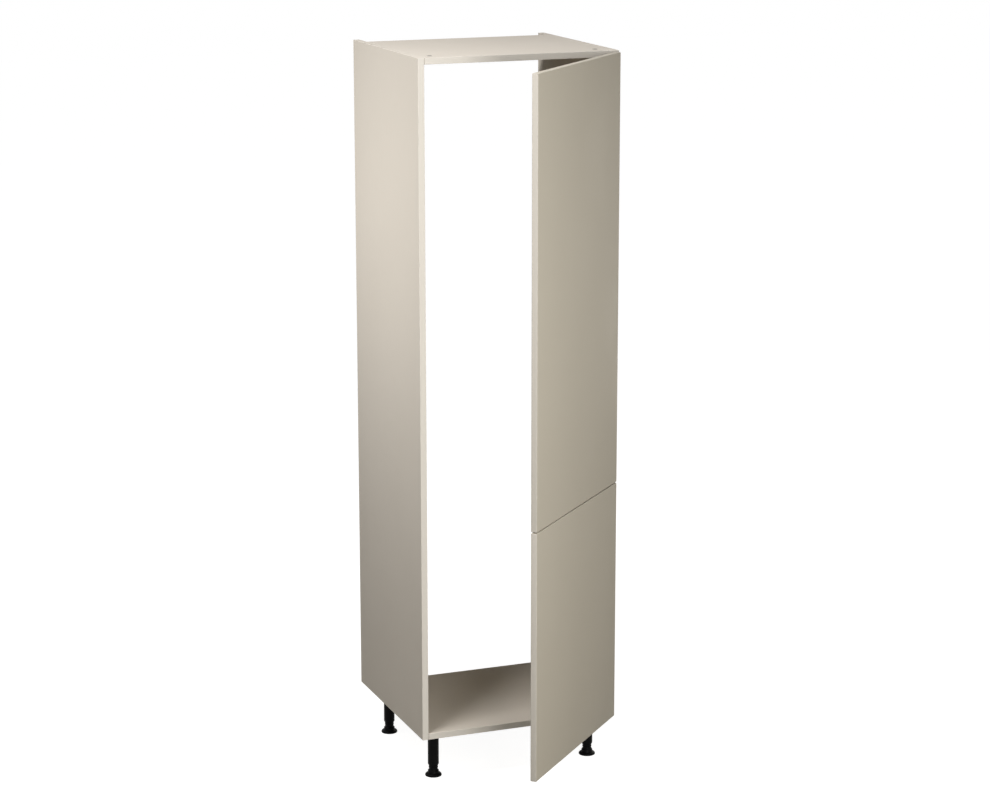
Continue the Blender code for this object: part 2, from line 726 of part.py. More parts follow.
def make_door(name, bottom, height, heights, axis, skins):
    """A slab door with softened edges and a recess for each hinge cup."""
    left = PANEL_INNER_X - DOOR_EDGE_INBOARD - DOOR_WIDTH
    low = (left, -DOOR_GAP - DOOR_THICKNESS, bottom)
    high = (left + DOOR_WIDTH, -DOOR_GAP, bottom + height)
    door = hang(add_object(name, block(name, low, high), skins["door"]), axis)
    soften(door, DOOR_EDGE_RADIUS, DOOR_EDGE_STEPS)
    x, radius = PANEL_INNER_X - CUP_CENTRE_INBOARD, CUP_DIAMETER / 2 + SEAT
    ends = (-DOOR_GAP - CUP_DEPTH - CUP_FLOOR - SEAT, -DOOR_GAP + OVERRUN)
    for z in heights:
        outline = circle((x, z), radius, CUP_SIDES)
        take_out(door, extrusion(name + "_recess", outline, *ends, axis="Y"), axis)


def make_door_set(name, bottom, height, count, unit, meshes, skins):
    """A door with its hinges: links on their axes, and the door on its pin."""
    def axis_at(piece, pin, parent, angle):
        x, y = drawn(pin)
        return add_axis(f"{name}_{piece}_axis", (PANEL_INNER_X + x, y, 0), parent, angle)

    outer_turn, inner_turn = OUTER_TURN_SHARE * DOOR_AJAR, INNER_TURN_SHARE * DOOR_AJAR
    outer_axis = axis_at("outer_link", ARM_OUTER_PIN, unit, outer_turn)
    door_axis = axis_at("door", CUP_PIN, outer_axis, DOOR_AJAR - outer_turn)
    inner_axis = axis_at("inner_link", ARM_INNER_PIN, unit, inner_turn)
    heights = hinge_heights(bottom, height, count)
    make_door(name + "_door", bottom, height, heights, door_axis, skins)
    axes = {"plate": unit, "arm": unit, "outer_link": outer_axis, "inner_link": inner_axis}
    for index, z in enumerate(heights, start=1):
        for piece, axis in axes.items():
            obj = add_object(f"{name}_hinge_{index}_{piece}", meshes[piece], skins["steel"])
            hang(obj, axis, (PANEL_INNER_X, 0, z))
        cup = add_object(f"{name}_hinge_{index}_cup", meshes["cup"], skins["steel"])
        hang(cup, door_axis, (PANEL_INNER_X - CUP_CENTRE_INBOARD, -DOOR_GAP, z))
        cup.rotation_euler = (-math.pi / 2, 0, 0)


def make_doors(unit, skins):
    meshes = {
        "plate": make_plate_mesh(),
        "arm": make_arm_mesh(),
        "outer_link": make_outer_link_mesh(),
        "inner_link": make_inner_link_mesh(),
        "cup": make_cup_mesh(),
    }
    make_door_set("upper", UPPER_DOOR_BOTTOM, UPPER_DOOR_HEIGHT, 3, unit, meshes, skins)
    make_door_set("lower", LOWER_DOOR_BOTTOM, LOWER_DOOR_HEIGHT, 2, unit, meshes, skins)


def build():
    clear_scene()
    skins = finishes()
    unit = add_axis("unit", (0, 0, 0))
    make_carcass(unit, skins)
    make_legs(unit, skins)
    make_doors(unit, skins)
    unit.location = (0, (door_reach() - CARCASS_DEPTH) / 2, 0)


build()
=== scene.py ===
"""The looks of a tall fridge housing unit: board skins, edging, hinges and levelling legs.

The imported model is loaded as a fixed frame. Its boards and edging keep their own solids and
take new finishes. The doors, hinges, cam fittings and legs are modelled again with finer
edges and fastenings, and each new piece stands for the solid whose place it takes.
"""

import logging
import math
from abc import ABC, abstractmethod
from contextlib import contextmanager
from dataclasses import dataclass, replace
from enum import Enum
from functools import cache
from typing import Callable, Iterable, Iterator, Optional, Sequence, Union

import bpy
from mathutils import Matrix, Vector


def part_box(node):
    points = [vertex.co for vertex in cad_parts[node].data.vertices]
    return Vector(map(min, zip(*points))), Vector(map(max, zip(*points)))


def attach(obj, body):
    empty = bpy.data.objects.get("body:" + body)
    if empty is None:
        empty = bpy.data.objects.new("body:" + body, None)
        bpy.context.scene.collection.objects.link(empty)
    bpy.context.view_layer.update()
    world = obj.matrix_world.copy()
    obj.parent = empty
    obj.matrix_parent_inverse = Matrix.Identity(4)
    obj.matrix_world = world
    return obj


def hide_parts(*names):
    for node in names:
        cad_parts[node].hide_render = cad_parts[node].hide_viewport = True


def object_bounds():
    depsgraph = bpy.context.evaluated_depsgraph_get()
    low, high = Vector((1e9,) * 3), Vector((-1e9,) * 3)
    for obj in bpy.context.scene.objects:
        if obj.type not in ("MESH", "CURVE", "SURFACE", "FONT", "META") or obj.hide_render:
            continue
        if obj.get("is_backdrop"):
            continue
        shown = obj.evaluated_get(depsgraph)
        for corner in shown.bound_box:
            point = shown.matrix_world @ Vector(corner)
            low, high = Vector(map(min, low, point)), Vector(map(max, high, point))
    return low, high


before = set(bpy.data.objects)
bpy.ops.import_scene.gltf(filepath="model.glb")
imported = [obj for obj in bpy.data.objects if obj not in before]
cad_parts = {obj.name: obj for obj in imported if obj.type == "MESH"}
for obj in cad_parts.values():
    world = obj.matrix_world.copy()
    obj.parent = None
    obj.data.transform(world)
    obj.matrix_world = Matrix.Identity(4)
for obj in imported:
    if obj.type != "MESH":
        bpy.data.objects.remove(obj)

LOG = logging.getLogger("fridge_housing")
CAD_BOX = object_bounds()

Pair = tuple[float, float]
Outline = tuple[Pair, ...]
Point = tuple[float, float, float]
Colour = tuple[float, float, float]
Piece = bpy.types.Object
Socket = bpy.types.NodeSocket
Feed = Union[Socket, float, Sequence[float]]

WHITE: Colour = (1.0, 1.0, 1.0)
UNIT_MIDDLE: Point = (0.0, 0.0, 1.1)
HINGES = {
    "lower_door": ("lower_hinge_1", "lower_hinge_2"),
    "upper_door": ("upper_hinge_1", "upper_hinge_2", "upper_hinge_3"),
}


class Slot(Enum):
    """Material slots of the record, passed along when new pieces are made."""

    DOOR = "painted_door"
    LEG = "black_leg_plastic"
    STEEL = "plated_hinge_steel"
    CAM = "zinc_cam"


# Steps of modelling, each done with the same operators as by hand


def select_only(*pieces: Piece) -> None:
    """Selects these pieces alone and makes the first one active.

    Args:
        pieces: The pieces to select.
    """
    bpy.ops.object.select_all(action="DESELECT")
    for piece in pieces:
        piece.select_set(True)
    bpy.context.view_layer.objects.active = pieces[0]


def settle(piece: Piece) -> Piece:
    """Puts a piece's place, turn and scale into its mesh.

    Args:
        piece: The piece to settle.

    Returns:
        The same piece, now at the origin.
    """
    select_only(piece)
    bpy.ops.object.transform_apply(location=True, rotation=True, scale=True)
    return piece


def fresh(name: str) -> Piece:
    """Names the piece that was just added, with its mesh, and settles it.

    Args:
        name: The new name.

    Returns:
        The new piece.
    """
    piece = bpy.context.view_layer.objects.active
    piece.name = piece.data.name = name
    return settle(piece)


def discard(*pieces: Piece) -> None:
    """Removes pieces that are used up."""
    for piece in pieces:
        bpy.data.objects.remove(piece)


@contextmanager
def editing(piece: Piece) -> Iterator[None]:
    """Holds a piece open in edit mode, with all its faces selected at first.

    Args:
        piece: The piece to edit.

    Yields:
        Nothing, while the piece is open.
    """
    select_only(piece)
    bpy.ops.object.mode_set(mode="EDIT")
    bpy.ops.mesh.select_mode(type="FACE")
    bpy.ops.mesh.select_all(action="SELECT")
    yield
    bpy.ops.object.mode_set(mode="OBJECT")


def round_edges(
    piece: Piece, width: float, steps: int, test: Callable[[Vector, Vector], bool]
) -> None:
    """Rounds the edges that pass a test.

    Args:
        piece: The piece to round.
        width: The width of the rounding.
        steps: Its number of segments.
        test: Is given an edge's two ends.
    """
    with editing(piece):
        bpy.ops.mesh.select_mode(type="EDGE")
        bpy.ops.mesh.select_all(action="DESELECT")
    corners = piece.data.vertices
    for edge in piece.data.edges:
        edge.select = test(*(corners[end].co for end in edge.vertices))
    bpy.ops.object.mode_set(mode="EDIT")
    bpy.ops.mesh.bevel(offset=width, segments=steps)
    bpy.ops.object.mode_set(mode="OBJECT")


def modify(piece: Piece, kind: str, **settings: object) -> Piece:
    """Puts a modifier on a piece and applies it.

    Args:
        piece: The piece to change.
        kind: The modifier's type.
        settings: Its properties, by name.

    Returns:
        The same piece.
    """
    change = piece.modifiers.new("change", kind)
    for title, value in settings.items():
        setattr(change, title, value)
    select_only(piece)
    bpy.ops.object.modifier_apply(modifier=change.name)
    return piece


def ease_edges(piece: Piece, width: float, steps: int, degrees: float) -> Piece:
    """Rounds the edges of a piece that are sharper than an angle."""
    limit = {"limit_method": "ANGLE", "angle_limit": math.radians(degrees)}
    return modify(piece, "BEVEL", width=width, segments=steps, **limit)


def add_shape(piece: Piece, other: Piece) -> None:
    """Adds another shape to a piece and uses it up."""
    modify(piece, "BOOLEAN", operation="UNION", solver="EXACT", object=other)
    discard(other)


def cut_out(piece: Piece, other: Piece) -> None:
    """Takes another shape out of a piece and uses it up."""
    modify(piece, "BOOLEAN", operation="DIFFERENCE", solver="EXACT", object=other)
    discard(other)


def smooth(piece: Piece, degrees: float) -> Piece:
    """Shades a piece smooth and keeps its sharper edges.

    Args:
        piece: The piece to shade.
        degrees: The angle past which an edge stays sharp.

    Returns:
        The same piece.
    """
    select_only(piece)
    bpy.ops.object.shade_smooth_by_angle(angle=math.radians(degrees))
    return piece


def box_piece(name: str, low: Point, high: Point) -> Piece:
    """A box between two corners.

    Args:
        name: The new piece's name.
        low: Its lowest corner.
        high: Its highest corner.

    Returns:
        The box.
    """
    start, end = Vector(low), Vector(high)
    bpy.ops.mesh.primitive_cube_add(size=1, location=(start + end) / 2)
    bpy.context.view_layer.objects.active.scale = end - start
    return fresh(name)


def rod_piece(name: str, radius: float, low: float, high: float, sides: int) -> Piece:
    """A round bar along Z.

    Args:
        name: The new piece's name.
        radius: Its radius.
        low: The height of its lower end.
        high: The height of its upper end.
        sides: Vertices round it.

    Returns:
        The bar.
    """
    middle = (0, 0, (low + high) / 2)
    bpy.ops.mesh.primitive_cylinder_add(
        vertices=sides, radius=radius, depth=high - low, location=middle
    )
    return fresh(name)


def turned(name: str, rings: Sequence[Pair], sides: int) -> Piece:
    """Turns a solid about Z from a disc, extruded and resized ring by ring.

    Args:
        name: The new piece's name.
        rings: Radius and height of each ring, from one end to the other.
        sides: Vertices round the piece.

    Returns:
        The turned solid, closed at both ends.
    """
    radius, height = rings[0]
    bpy.ops.mesh.primitive_circle_add(
        vertices=sides, radius=radius, fill_type="NGON", location=(0, 0, height)
    )
    piece = fresh(name)
    with editing(piece):
        for next_radius, next_height in rings[1:]:
            rise, share = next_height - height, next_radius / radius
            bpy.ops.mesh.extrude_region_move(TRANSFORM_OT_translate={"value": (0, 0, rise)})
            bpy.ops.transform.resize(value=(share, share, 1), center_override=(0, 0, next_height))
            radius, height = next_radius, next_height
        bpy.ops.mesh.select_all(action="SELECT")
        bpy.ops.mesh.normals_make_consistent(inside=False)
    return piece


def cut_cross(piece: Piece, length: float, width: float, low: float, high: float) -> None:
    """Cuts a cross of two slots into the top of a piece that stands on the Z axis.

    Args:
        piece: The piece to cut.
        length: The length of a slot.
        width: Its width.
        low: The height of its floor.
        high: A height above the piece.
    """
    for across, along in ((length / 2, width / 2), (width / 2, length / 2)):
        cut_out(piece, box_piece("slot", (-across, -along, low), (across, along, high)))


def moved(piece: Piece, change: Matrix) -> Piece:
    """Moves or turns a piece, with the change put into its mesh."""
    piece.matrix_world = change @ piece.matrix_world
    return settle(piece)


def twin(piece: Piece, name: str, change: Matrix) -> Piece:
    """Copies a finished piece with a mesh of its own.

    Args:
        piece: The piece to copy.
        name: The copy's name.
        change: How the copy is moved or turned.

    Returns:
        The copy.
    """
    select_only(piece)
    bpy.ops.object.duplicate(linked=False)
    return moved(fresh(name), change)


def join(piece: Piece, *others: Piece) -> Piece:
    """Joins other pieces to one, which keeps its name.

    Args:
        piece: The piece that stays.
        others: The pieces that go into it.

    Returns:
        The joined piece.
    """
    select_only(piece, *others)
    bpy.ops.object.join()
    return piece


def refined_copy(node: str, name: str) -> Piece:
    """Copies a solid of the frame, merged and cleaned so that it can be shaped further.

    Args:
        node: The frame's node.
        name: The new piece's name.

    Returns:
        The copy, with its own mesh and no material.
    """
    piece = bpy.data.objects.new(name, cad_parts[node].data.copy())
    bpy.context.scene.collection.objects.link(piece)
    piece.data.name = name
    piece.data.materials.clear()
    select_only(piece)
    bpy.ops.mesh.customdata_custom_splitnormals_clear()
    with editing(piece):
        bpy.ops.mesh.remove_doubles(threshold=0.00001)
        bpy.ops.mesh.dissolve_limited(angle_limit=math.radians(0.5))
        bpy.ops.mesh.normals_make_consistent(inside=False)
    return piece


def hinge_height(hinge: str) -> float:
    """The height of the middle of a hinge's arm."""
    low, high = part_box(f"{hinge}_arm")
    return (low.z + high.z) / 2


# What a piece wears and what it stands for


def dress(material: bpy.types.Material, *pieces: Piece) -> None:
    """Gives pieces one material.

    Args:
        material: The material.
        pieces: The pieces that take it.
    """
    for piece in pieces:
        if not piece.material_slots:
            piece.data.materials.append(material)
        for slot in piece.material_slots:
            slot.material = material


def declare(piece: Piece, body: str, slot: Slot, *nodes: str) -> str:
    """Hangs a new piece on the body it moves with, and hides the nodes whose place it takes.

    Args:
        piece: The new piece.
        body: The body it moves with.
        slot: Not used.
        nodes: The nodes whose place it takes.

    Returns:
        The piece's name.
    """
    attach(piece, body)
    if nodes:
        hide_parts(*nodes)
    return piece.name


def stand_in(model: Piece, change: Matrix, body: str, slot: Slot, node: str) -> str:
    return declare(twin(model, node + "_piece", change), body, slot, node)


# Shader trees


class Graph:
    """A shader node tree, with short ways to add nodes and wire them."""

    COLOUR_MIX_INPUTS = (0, 6, 7)
    COLOUR_MIX_OUTPUT = 2

    def __init__(self, tree: bpy.types.NodeTree) -> None:
        """Wraps a tree."""
        self.tree = tree

    def feed(self, socket: Socket, value: Feed) -> None:
        """Links a socket to another one, or sets its constant.

        Args:
            socket: The input to feed.
            value: An output socket or a constant.
        """
        if isinstance(value, Socket):
            self.tree.links.new(value, socket)
        elif socket.type == "RGBA":
            socket.default_value = (*value, 1.0)
        else:
            socket.default_value = value

    def node(
        self, kind: str, inputs: Optional[dict[Union[int, str], Feed]] = None, **settings: object
    ) -> bpy.types.Node:
        """Adds a node.

        Args:
            kind: The node's type, without its common prefix.
            inputs: What its sockets are fed, by name or number.
            settings: Properties of the node, by name.

        Returns:
            The new node.
        """
        node = self.tree.nodes.new("ShaderNode" + kind)
        for title, value in settings.items():
            setattr(node, title, value)
        for title, value in (inputs or {}).items():
            self.feed(node.inputs[title], value)
        return node

    def math(self, operation: str, *values: Feed) -> Socket:
        """Adds a sum, by Blender's name of the operation, and gives its result."""
        return self.node("Math", dict(enumerate(values)), operation=operation).outputs[0]

    def vector(self, operation: str, *values: Feed) -> Sequence[Socket]:
        """Adds a sum of vectors, and gives its result as a vector and as a number."""
        return self.node("VectorMath", dict(enumerate(values)), operation=operation).outputs

    def stretched(self, place: Feed, share: Point) -> Socket:
        """Scales coordinates along X, Y and Z, so that a texture is drawn out."""
        return self.vector("MULTIPLY", place, share)[0]

    def noise(self, place: Feed, scale: float, detail: float = 2.0, rough: float = 0.5) -> Socket:
        """Adds a noise from 0 to 1, by its features in a metre and how fine and rough it is."""
        inputs = {"Vector": place, "Scale": scale, "Detail": detail, "Roughness": rough}
        return self.node("TexNoise", inputs).outputs["Fac"]

    def span(
        self, value: Feed, start: Feed, end: Feed, low: Feed = 0.0, high: Feed = 1.0
    ) -> Socket:
        """Maps a value from start to end smoothly to one from low to high, and holds the ends."""
        inputs = {"Value": value, "From Min": start, "From Max": end, "To Min": low, "To Max": high}
        return self.node("MapRange", inputs, interpolation_type="SMOOTHSTEP").outputs["Result"]

    def blend(self, share: Feed, first: Feed, second: Feed) -> Socket:
        """Mixes two colours, by how much of the second one shows."""
        inputs = dict(zip(self.COLOUR_MIX_INPUTS, (share, first, second)))
        return self.node("Mix", inputs, data_type="RGBA").outputs[self.COLOUR_MIX_OUTPUT]

    def parts(self, value: Feed) -> Sequence[Socket]:
        """Splits a vector into its X, Y and Z."""
        return self.node("SeparateXYZ", {0: value}).outputs

    def seen_directly(self) -> Socket:
        """Tells a ray of the camera, or its reflection or refraction, from light that spreads.

        Returns:
            1 for such a ray, and 0 for light that spreads.
        """
        path = self.node("LightPath").outputs
        mirrored = self.math("MAXIMUM", path["Is Glossy Ray"], path["Is Transmission Ray"])
        return self.math("MAXIMUM", path["Is Camera Ray"], mirrored)


class SharedGroup(Graph, ABC):
    """A node group that is built once and gives masks and values, all of them numbers."""

    VECTORS = ("Place", "Centre", "Half")

    title: str
    inputs: tuple[str, ...] = ("Place",)
    outputs: tuple[str, ...]

    def __init__(self) -> None:
        """Makes the group with its sockets and wires it."""
        super().__init__(bpy.data.node_groups.new(self.title, "ShaderNodeTree"))
        for way, titles in (("INPUT", self.inputs), ("OUTPUT", self.outputs)):
            for title in titles:
                kind = "NodeSocketVector" if title in self.VECTORS else "NodeSocketFloat"
                self.tree.interface.new_socket(name=title, in_out=way, socket_type=kind)
        self.given = self.tree.nodes.new("NodeGroupInput").outputs
        self.result = self.tree.nodes.new("NodeGroupOutput").inputs
        self.place = self.given["Place"]
        self.wire()

    @abstractmethod
    def wire(self) -> None:
        """Wires the group from what it is given to its results."""

    def give(self, **values: Feed) -> None:
        """Feeds the group's results, by name."""
        for title, value in values.items():
            self.feed(self.result[title], value)

    @classmethod
    @cache
    def shared_tree(cls) -> bpy.types.NodeTree:
        """Builds the group the first time that it is asked for."""
        return cls().tree

    @classmethod
    def add_to(cls, graph: Graph, **inputs: Feed) -> Sequence[Socket]:
        """Adds the group to a tree, fed by name, and gives its outputs."""
        return graph.node("Group", inputs, node_tree=cls.shared_tree()).outputs


class BoxEdge(SharedGroup):
    """How far a point of a box's skin is from the box's nearest edge."""

    title = "box_edge_distance"
    inputs = ("Place", "Centre", "Half")
    outputs = ("Distance",)

    def wire(self) -> None:
        """Takes the middle one of the depths below the box's three pairs of faces."""
        away = self.vector("SUBTRACT", self.place, self.given["Centre"])[0]
        reach = self.vector("ABSOLUTE", away)[0]
        x, y, z = self.parts(self.vector("SUBTRACT", self.given["Half"], reach)[0])
        low = self.math("MINIMUM", x, y)
        middle = self.math("MINIMUM", self.math("MAXIMUM", x, y), z)
        self.give(Distance=self.math("MAXIMUM", low, middle))


class BoardSkin(SharedGroup):
    """The print, pressing and handling of a melamine or lacquered face."""

    title = "board_skin"
    outputs = ("Print", "Relief", "Smudge")

    def wire(self) -> None:
        """Lays upright streaks, specks and clouds over a pearled relief, with wiped patches."""
        upright = self.stretched(self.place, (1.0, 1.0, 0.03))
        streak = self.noise(upright, scale=420.0, detail=3.0, rough=0.6)
        speck = self.noise(self.place, scale=1500.0, detail=1.0)
        cloud = self.noise(self.place, scale=5.0, rough=0.45)
        lines = self.math("MULTIPLY_ADD", streak, 0.5, self.math("MULTIPLY", speck, 0.2))
        cells = {"Vector": self.place, "Scale": 1300.0, "Smoothness": 0.8}
        pearl = self.node("TexVoronoi", cells, feature="SMOOTH_F1").outputs["Distance"]
        fine = self.noise(self.place, scale=2600.0)
        relief = self.math("MULTIPLY_ADD", pearl, 0.7, fine)
        drawn = self.stretched(self.place, (1.0, 1.0, 0.35))
        wiped = self.noise(drawn, scale=9.0, detail=4.0, rough=0.6)
        self.give(
            Print=self.math("MULTIPLY_ADD", cloud, 0.3, lines),
            Relief=self.math("MULTIPLY", relief, 0.5),
            Smudge=self.span(wiped, start=0.42, end=0.72),
        )


class Chipboard(SharedGroup):
    """Pressed wood particles, as on a sawn board edge."""

    title = "chipboard_core"
    outputs = ("Chip", "Pore")

    def wire(self) -> None:
        """Gives each flat chip its own tone, and scatters pores between them."""
        sway = self.math("MULTIPLY", self.noise(self.place, scale=260.0), 0.002)
        swayed = self.vector("ADD", self.place, sway)[0]
        cells = {"Vector": self.stretched(swayed, (1.0, 1.0, 1.6)), "Scale": 420.0}
        chips = self.node("TexVoronoi", cells, feature="F1").outputs["Color"]
        pores = self.noise(swayed, scale=900.0, detail=3.0)
        self.give(
            Chip=self.node("SeparateColor", {0: chips}).outputs[0],
            Pore=self.span(pores, start=0.55, end=0.72),
        )


class ArrisHighlightAndWear(SharedGroup):
    """A painted highlight line along an arris, and where hands and packing have worn it."""

    title = "arris_highlight_and_wear"
    inputs = ("Place", "Distance", "Width")
    outputs = ("Line", "Rub")

    def wire(self) -> None:
        """Draws the even painted highlight line, and a ragged band of wear that comes and goes
        along it.
        """
        distance, width = self.given["Distance"], self.given["Width"]
        half = self.math("MULTIPLY", width, 0.5)
        grain = self.noise(self.place, scale=140.0, detail=4.0)
        ragged = self.math("MULTIPLY", width, self.span(grain, 0.3, 0.8, low=0.2, high=3.0))
        inner = self.math("MULTIPLY", ragged, 0.4)
        rub = self.span(distance, inner, ragged, low=1.0, high=0.0)
        patches = self.span(self.noise(self.place, scale=11.0, detail=3.0), 0.48, 0.62)
        self.give(
            Line=self.span(distance, half, width, low=1.0, high=0.0),
            Rub=self.math("MULTIPLY", rub, patches),
        )


class PlasticSkin(SharedGroup):
    """The spark-eroded skin and flow marks of a moulded part."""

    title = "moulded_plastic_skin"
    outputs = ("Relief", "Bloom")

    def wire(self) -> None:
        """Lays grit over slow waves, with a cloudy bloom."""
        grit = self.noise(self.place, scale=3200.0, detail=3.0, rough=0.6)
        waves = self.noise(self.stretched(self.place, (1.0, 1.0, 0.25)), scale=190.0)
        cloud = self.noise(self.place, scale=60.0, detail=4.0, rough=0.6)
        self.give(
            Relief=self.math("MULTIPLY_ADD", waves, 0.6, grit),
            Bloom=self.span(cloud, start=0.4, end=0.75),
        )


class MetalSkin(SharedGroup):
    """Rolling lines, plating cloud and fine scuffs of pressed and plated steel."""

    title = "plated_metal_skin"
    outputs = ("Tone", "Gloss", "Relief")

    def wire(self) -> None:
        """Lays scuffs over the rolling lines, under a cloud of tone."""
        rolled = self.noise(self.stretched(self.place, (1.0, 0.04, 1.0)), scale=2400.0)
        scuff = self.span(self.noise(self.place, scale=650.0, detail=5.0, rough=0.7), 0.5, 0.8)
        self.give(
            Tone=self.noise(self.place, scale=90.0, detail=3.0),
            Gloss=self.math("MULTIPLY_ADD", rolled, 0.5, self.math("MULTIPLY", scuff, 0.5)),
            Relief=self.math("ADD", rolled, scuff),
        )


class SettledDust(SharedGroup):
    """A thin veil of dust on what faces up."""

    title = "settled_dust"
    inputs = ("Place", "Amount")
    outputs = ("Veil",)

    def wire(self) -> None:
        """Breaks the veil into grains, and thins it out on faces that slope."""
        rise = self.parts(self.node("NewGeometry").outputs["Normal"])[2]
        grains = self.noise(self.place, scale=1900.0, detail=4.0, rough=0.65)
        broken = self.math("MULTIPLY_ADD", self.span(grains, 0.45, 0.75), 0.7, 0.3)
        veil = self.math("MULTIPLY", self.span(rise, 0.35, 0.95), broken)
        self.give(Veil=self.math("MULTIPLY", veil, self.given["Amount"]))


class MaterialGraph(Graph):
    """A material's tree, with its Principled shader ready to be fed."""

    def __init__(self, name: str) -> None:
        """Makes the material.

        Args:
            name: The material's name.
        """
        self.material = bpy.data.materials.new(name)
        self.material.use_nodes = True
        super().__init__(self.material.node_tree)
        self.tree.nodes.clear()
        output = self.node("OutputMaterial")
        self.shader = self.node("BsdfPrincipled")
        self.feed(output.inputs["Surface"], self.shader.outputs[0])
        self.place = self.node("TexCoord").outputs["Object"]

    def set(self, **values: Feed) -> None:
        """Feeds the shader's sockets, by name with underscores for spaces."""
        for title, value in values.items():
            self.feed(self.shader.inputs[title.replace("_", " ")], value)

    def bump(self, height: Feed, distance: float) -> None:
        """Gives the shader a relief, whose height from 0 to 1 is this many metres deep."""
        relief = self.node("Bump", {"Strength": 1.0, "Distance": distance, "Height": height})
        self.set(Normal=relief.outputs[0])


@dataclass(frozen=True)
class DoorPin:
    """Where both doors turn, shut and at rest, and where their hinge cups sit when shut."""

    shut: Point = (0.2892, -0.071038, 0.0)
    rest: Point = (0.284203, -0.074079, 0.0)
    turn: float = math.radians(45)
    cup_centre: Pair = (0.2765, -0.0653)

    @property
    def change(self) -> Matrix:
        """What takes a shut door to its resting place."""
        swing = Matrix.Rotation(self.turn, 4, "Z")
        return Matrix.Translation(self.rest) @ swing @ Matrix.Translation(-Vector(self.shut))


@dataclass(frozen=True)
class SkinBox:
    """The box whose edges a skin knows, and the pin on which it may have turned."""

    low: Point = (0.0, 0.0, 0.0)
    high: Point = (0.0, 0.0, 0.0)
    pin: Optional[DoorPin] = None

    @classmethod
    def of_node(cls, node: str) -> "SkinBox":
        """The box of a node of the frame."""
        low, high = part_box(node)
        return cls(tuple(low), tuple(high))

    def place_in(self, graph: MaterialGraph) -> Feed:
        """The coordinates of the box before it was turned.

        Args:
            graph: The material.

        Returns:
            The coordinates.
        """
        if self.pin is None:
            return graph.place
        turn = {"Vector": graph.place, "Center": self.pin.rest, "Angle": -self.pin.turn}
        turned_back = graph.node("VectorRotate", turn, rotation_type="Z_AXIS").outputs[0]
        way_back = Vector(self.pin.shut) - Vector(self.pin.rest)
        return graph.vector("ADD", turned_back, way_back)[0]

    def edge_distance(self, graph: MaterialGraph, place: Feed) -> Socket:
        """How far a point is from the box's nearest edge.

        Args:
            graph: The material.
            place: The coordinates before the turn.

        Returns:
            The distance in metres.
        """
        low, high = Vector(self.low), Vector(self.high)
        centre, half = (low + high) / 2, (high - low) / 2
        return BoxEdge.add_to(graph, Place=place, Centre=centre, Half=half)["Distance"]


class Finish(ABC):
    """A finish that can be put on a piece."""

    @abstractmethod
    def material(self, name: str) -> bpy.types.Material:
        """Builds the finish as a material of this name."""


@dataclass(frozen=True)
class BoardFinish(Finish):
    """Matt melamine or lacquer on a board, with one sawn face left raw where told.

    The ends are a band of another tone near both ends along X: painted shade in the joint where an
    edging butts against a side; on a door, its edging tone.
    """

    box: SkinBox = SkinBox()
    pale: Colour = (0.68, 0.625, 0.545)
    deep: Colour = (0.62, 0.565, 0.485)
    roughness: float = 0.58
    wiped: float = 0.06
    specular: float = 0.015
    relief: float = 0.00003
    # The lighter arris tone is a painted highlight along every edge, and also the tone of edge
    # wear.
    arris: Colour = (0.74, 0.70, 0.63)
    arris_width: float = 0.0007
    highlight_share: float = 0.45
    rub_share: float = 0.35
    dust: float = 0.03
    dust_tone: Colour = (0.5, 0.48, 0.45)
    # ends: painted shade at an edging's butt joints; on a door, its edging tone.
    ends_at: float = 0.0
    ends: Colour = (0.30, 0.26, 0.21)
    ends_share: float = 0.6
    ends_start: float = 0.0022
    ends_full: float = 0.0010
    raw_face: Optional[Point] = None
    raw_facing: Pair = (0.8, 0.9)
    core_pale: Colour = (0.60, 0.42, 0.24)
    core_deep: Colour = (0.30, 0.18, 0.09)
    core_pore: Colour = (0.12, 0.07, 0.035)
    core_roughness: float = 0.85
    core_relief: float = 6.0

    def material(self, name: str) -> bpy.types.Material:
        """Builds the skin, its painted arris highlights and edge wear, smudges, dust, ends and raw
        face.

        Args:
            name: The material's name.

        Returns:
            The material.
        """
        graph = MaterialGraph(name)
        place = self.box.place_in(graph)
        skin = BoardSkin.add_to(graph, Place=place)
        away = self.box.edge_distance(graph, place)
        highlight_and_wear = ArrisHighlightAndWear.add_to(graph, Place=place, Distance=away, Width=self.arris_width)
        colour = graph.blend(skin["Print"], self.deep, self.pale)
        # Painted highlight: an even lighter line along every edge of the box, then patchy wear in
        # the same tone.
        for output, share in (("Line", self.highlight_share), ("Rub", self.rub_share)):
            mask = graph.math("MULTIPLY", highlight_and_wear[output], share)
            colour = graph.blend(mask, colour, self.arris)
        dust = SettledDust.add_to(graph, Place=place, Amount=self.dust)
        colour = graph.blend(dust["Veil"], colour, self.dust_tone)
        # Painted shade: a darker band at both ends of an edging, in the corner where it meets a
        # side; a door's band is its edging tone.
        if self.ends_at:
            aside = graph.math("ABSOLUTE", graph.parts(place)[0])
            start, full = self.ends_at - self.ends_start, self.ends_at - self.ends_full
            band = graph.math("MULTIPLY", graph.span(aside, start, full), self.ends_share)
            colour = graph.blend(band, colour, self.ends)
        low = self.roughness - self.wiped
        rough = graph.span(skin["Smudge"], 0.0, 1.0, self.roughness, low)
        height = skin["Relief"]
        if self.raw_face:
            normal = graph.node("NewGeometry").outputs["Normal"]
            toward = graph.vector("DOT_PRODUCT", normal, self.raw_face)[1]
            raw = graph.span(toward, *self.raw_facing)
            core = Chipboard.add_to(graph, Place=place)
            wood = graph.blend(core["Chip"], self.core_deep, self.core_pale)
            wood = graph.blend(core["Pore"], wood, self.core_pore)
            colour = graph.blend(raw, colour, wood)
            rough = graph.span(raw, 0.0, 1.0, rough, self.core_roughness)
            deep = graph.math("MULTIPLY", raw, self.core_relief)
            height = graph.math("ADD", height, graph.math("MULTIPLY", core["Chip"], deep))
        graph.set(Base_Color=colour, Roughness=rough, Specular_IOR_Level=self.specular)
        graph.bump(height, self.relief)
        return graph.material


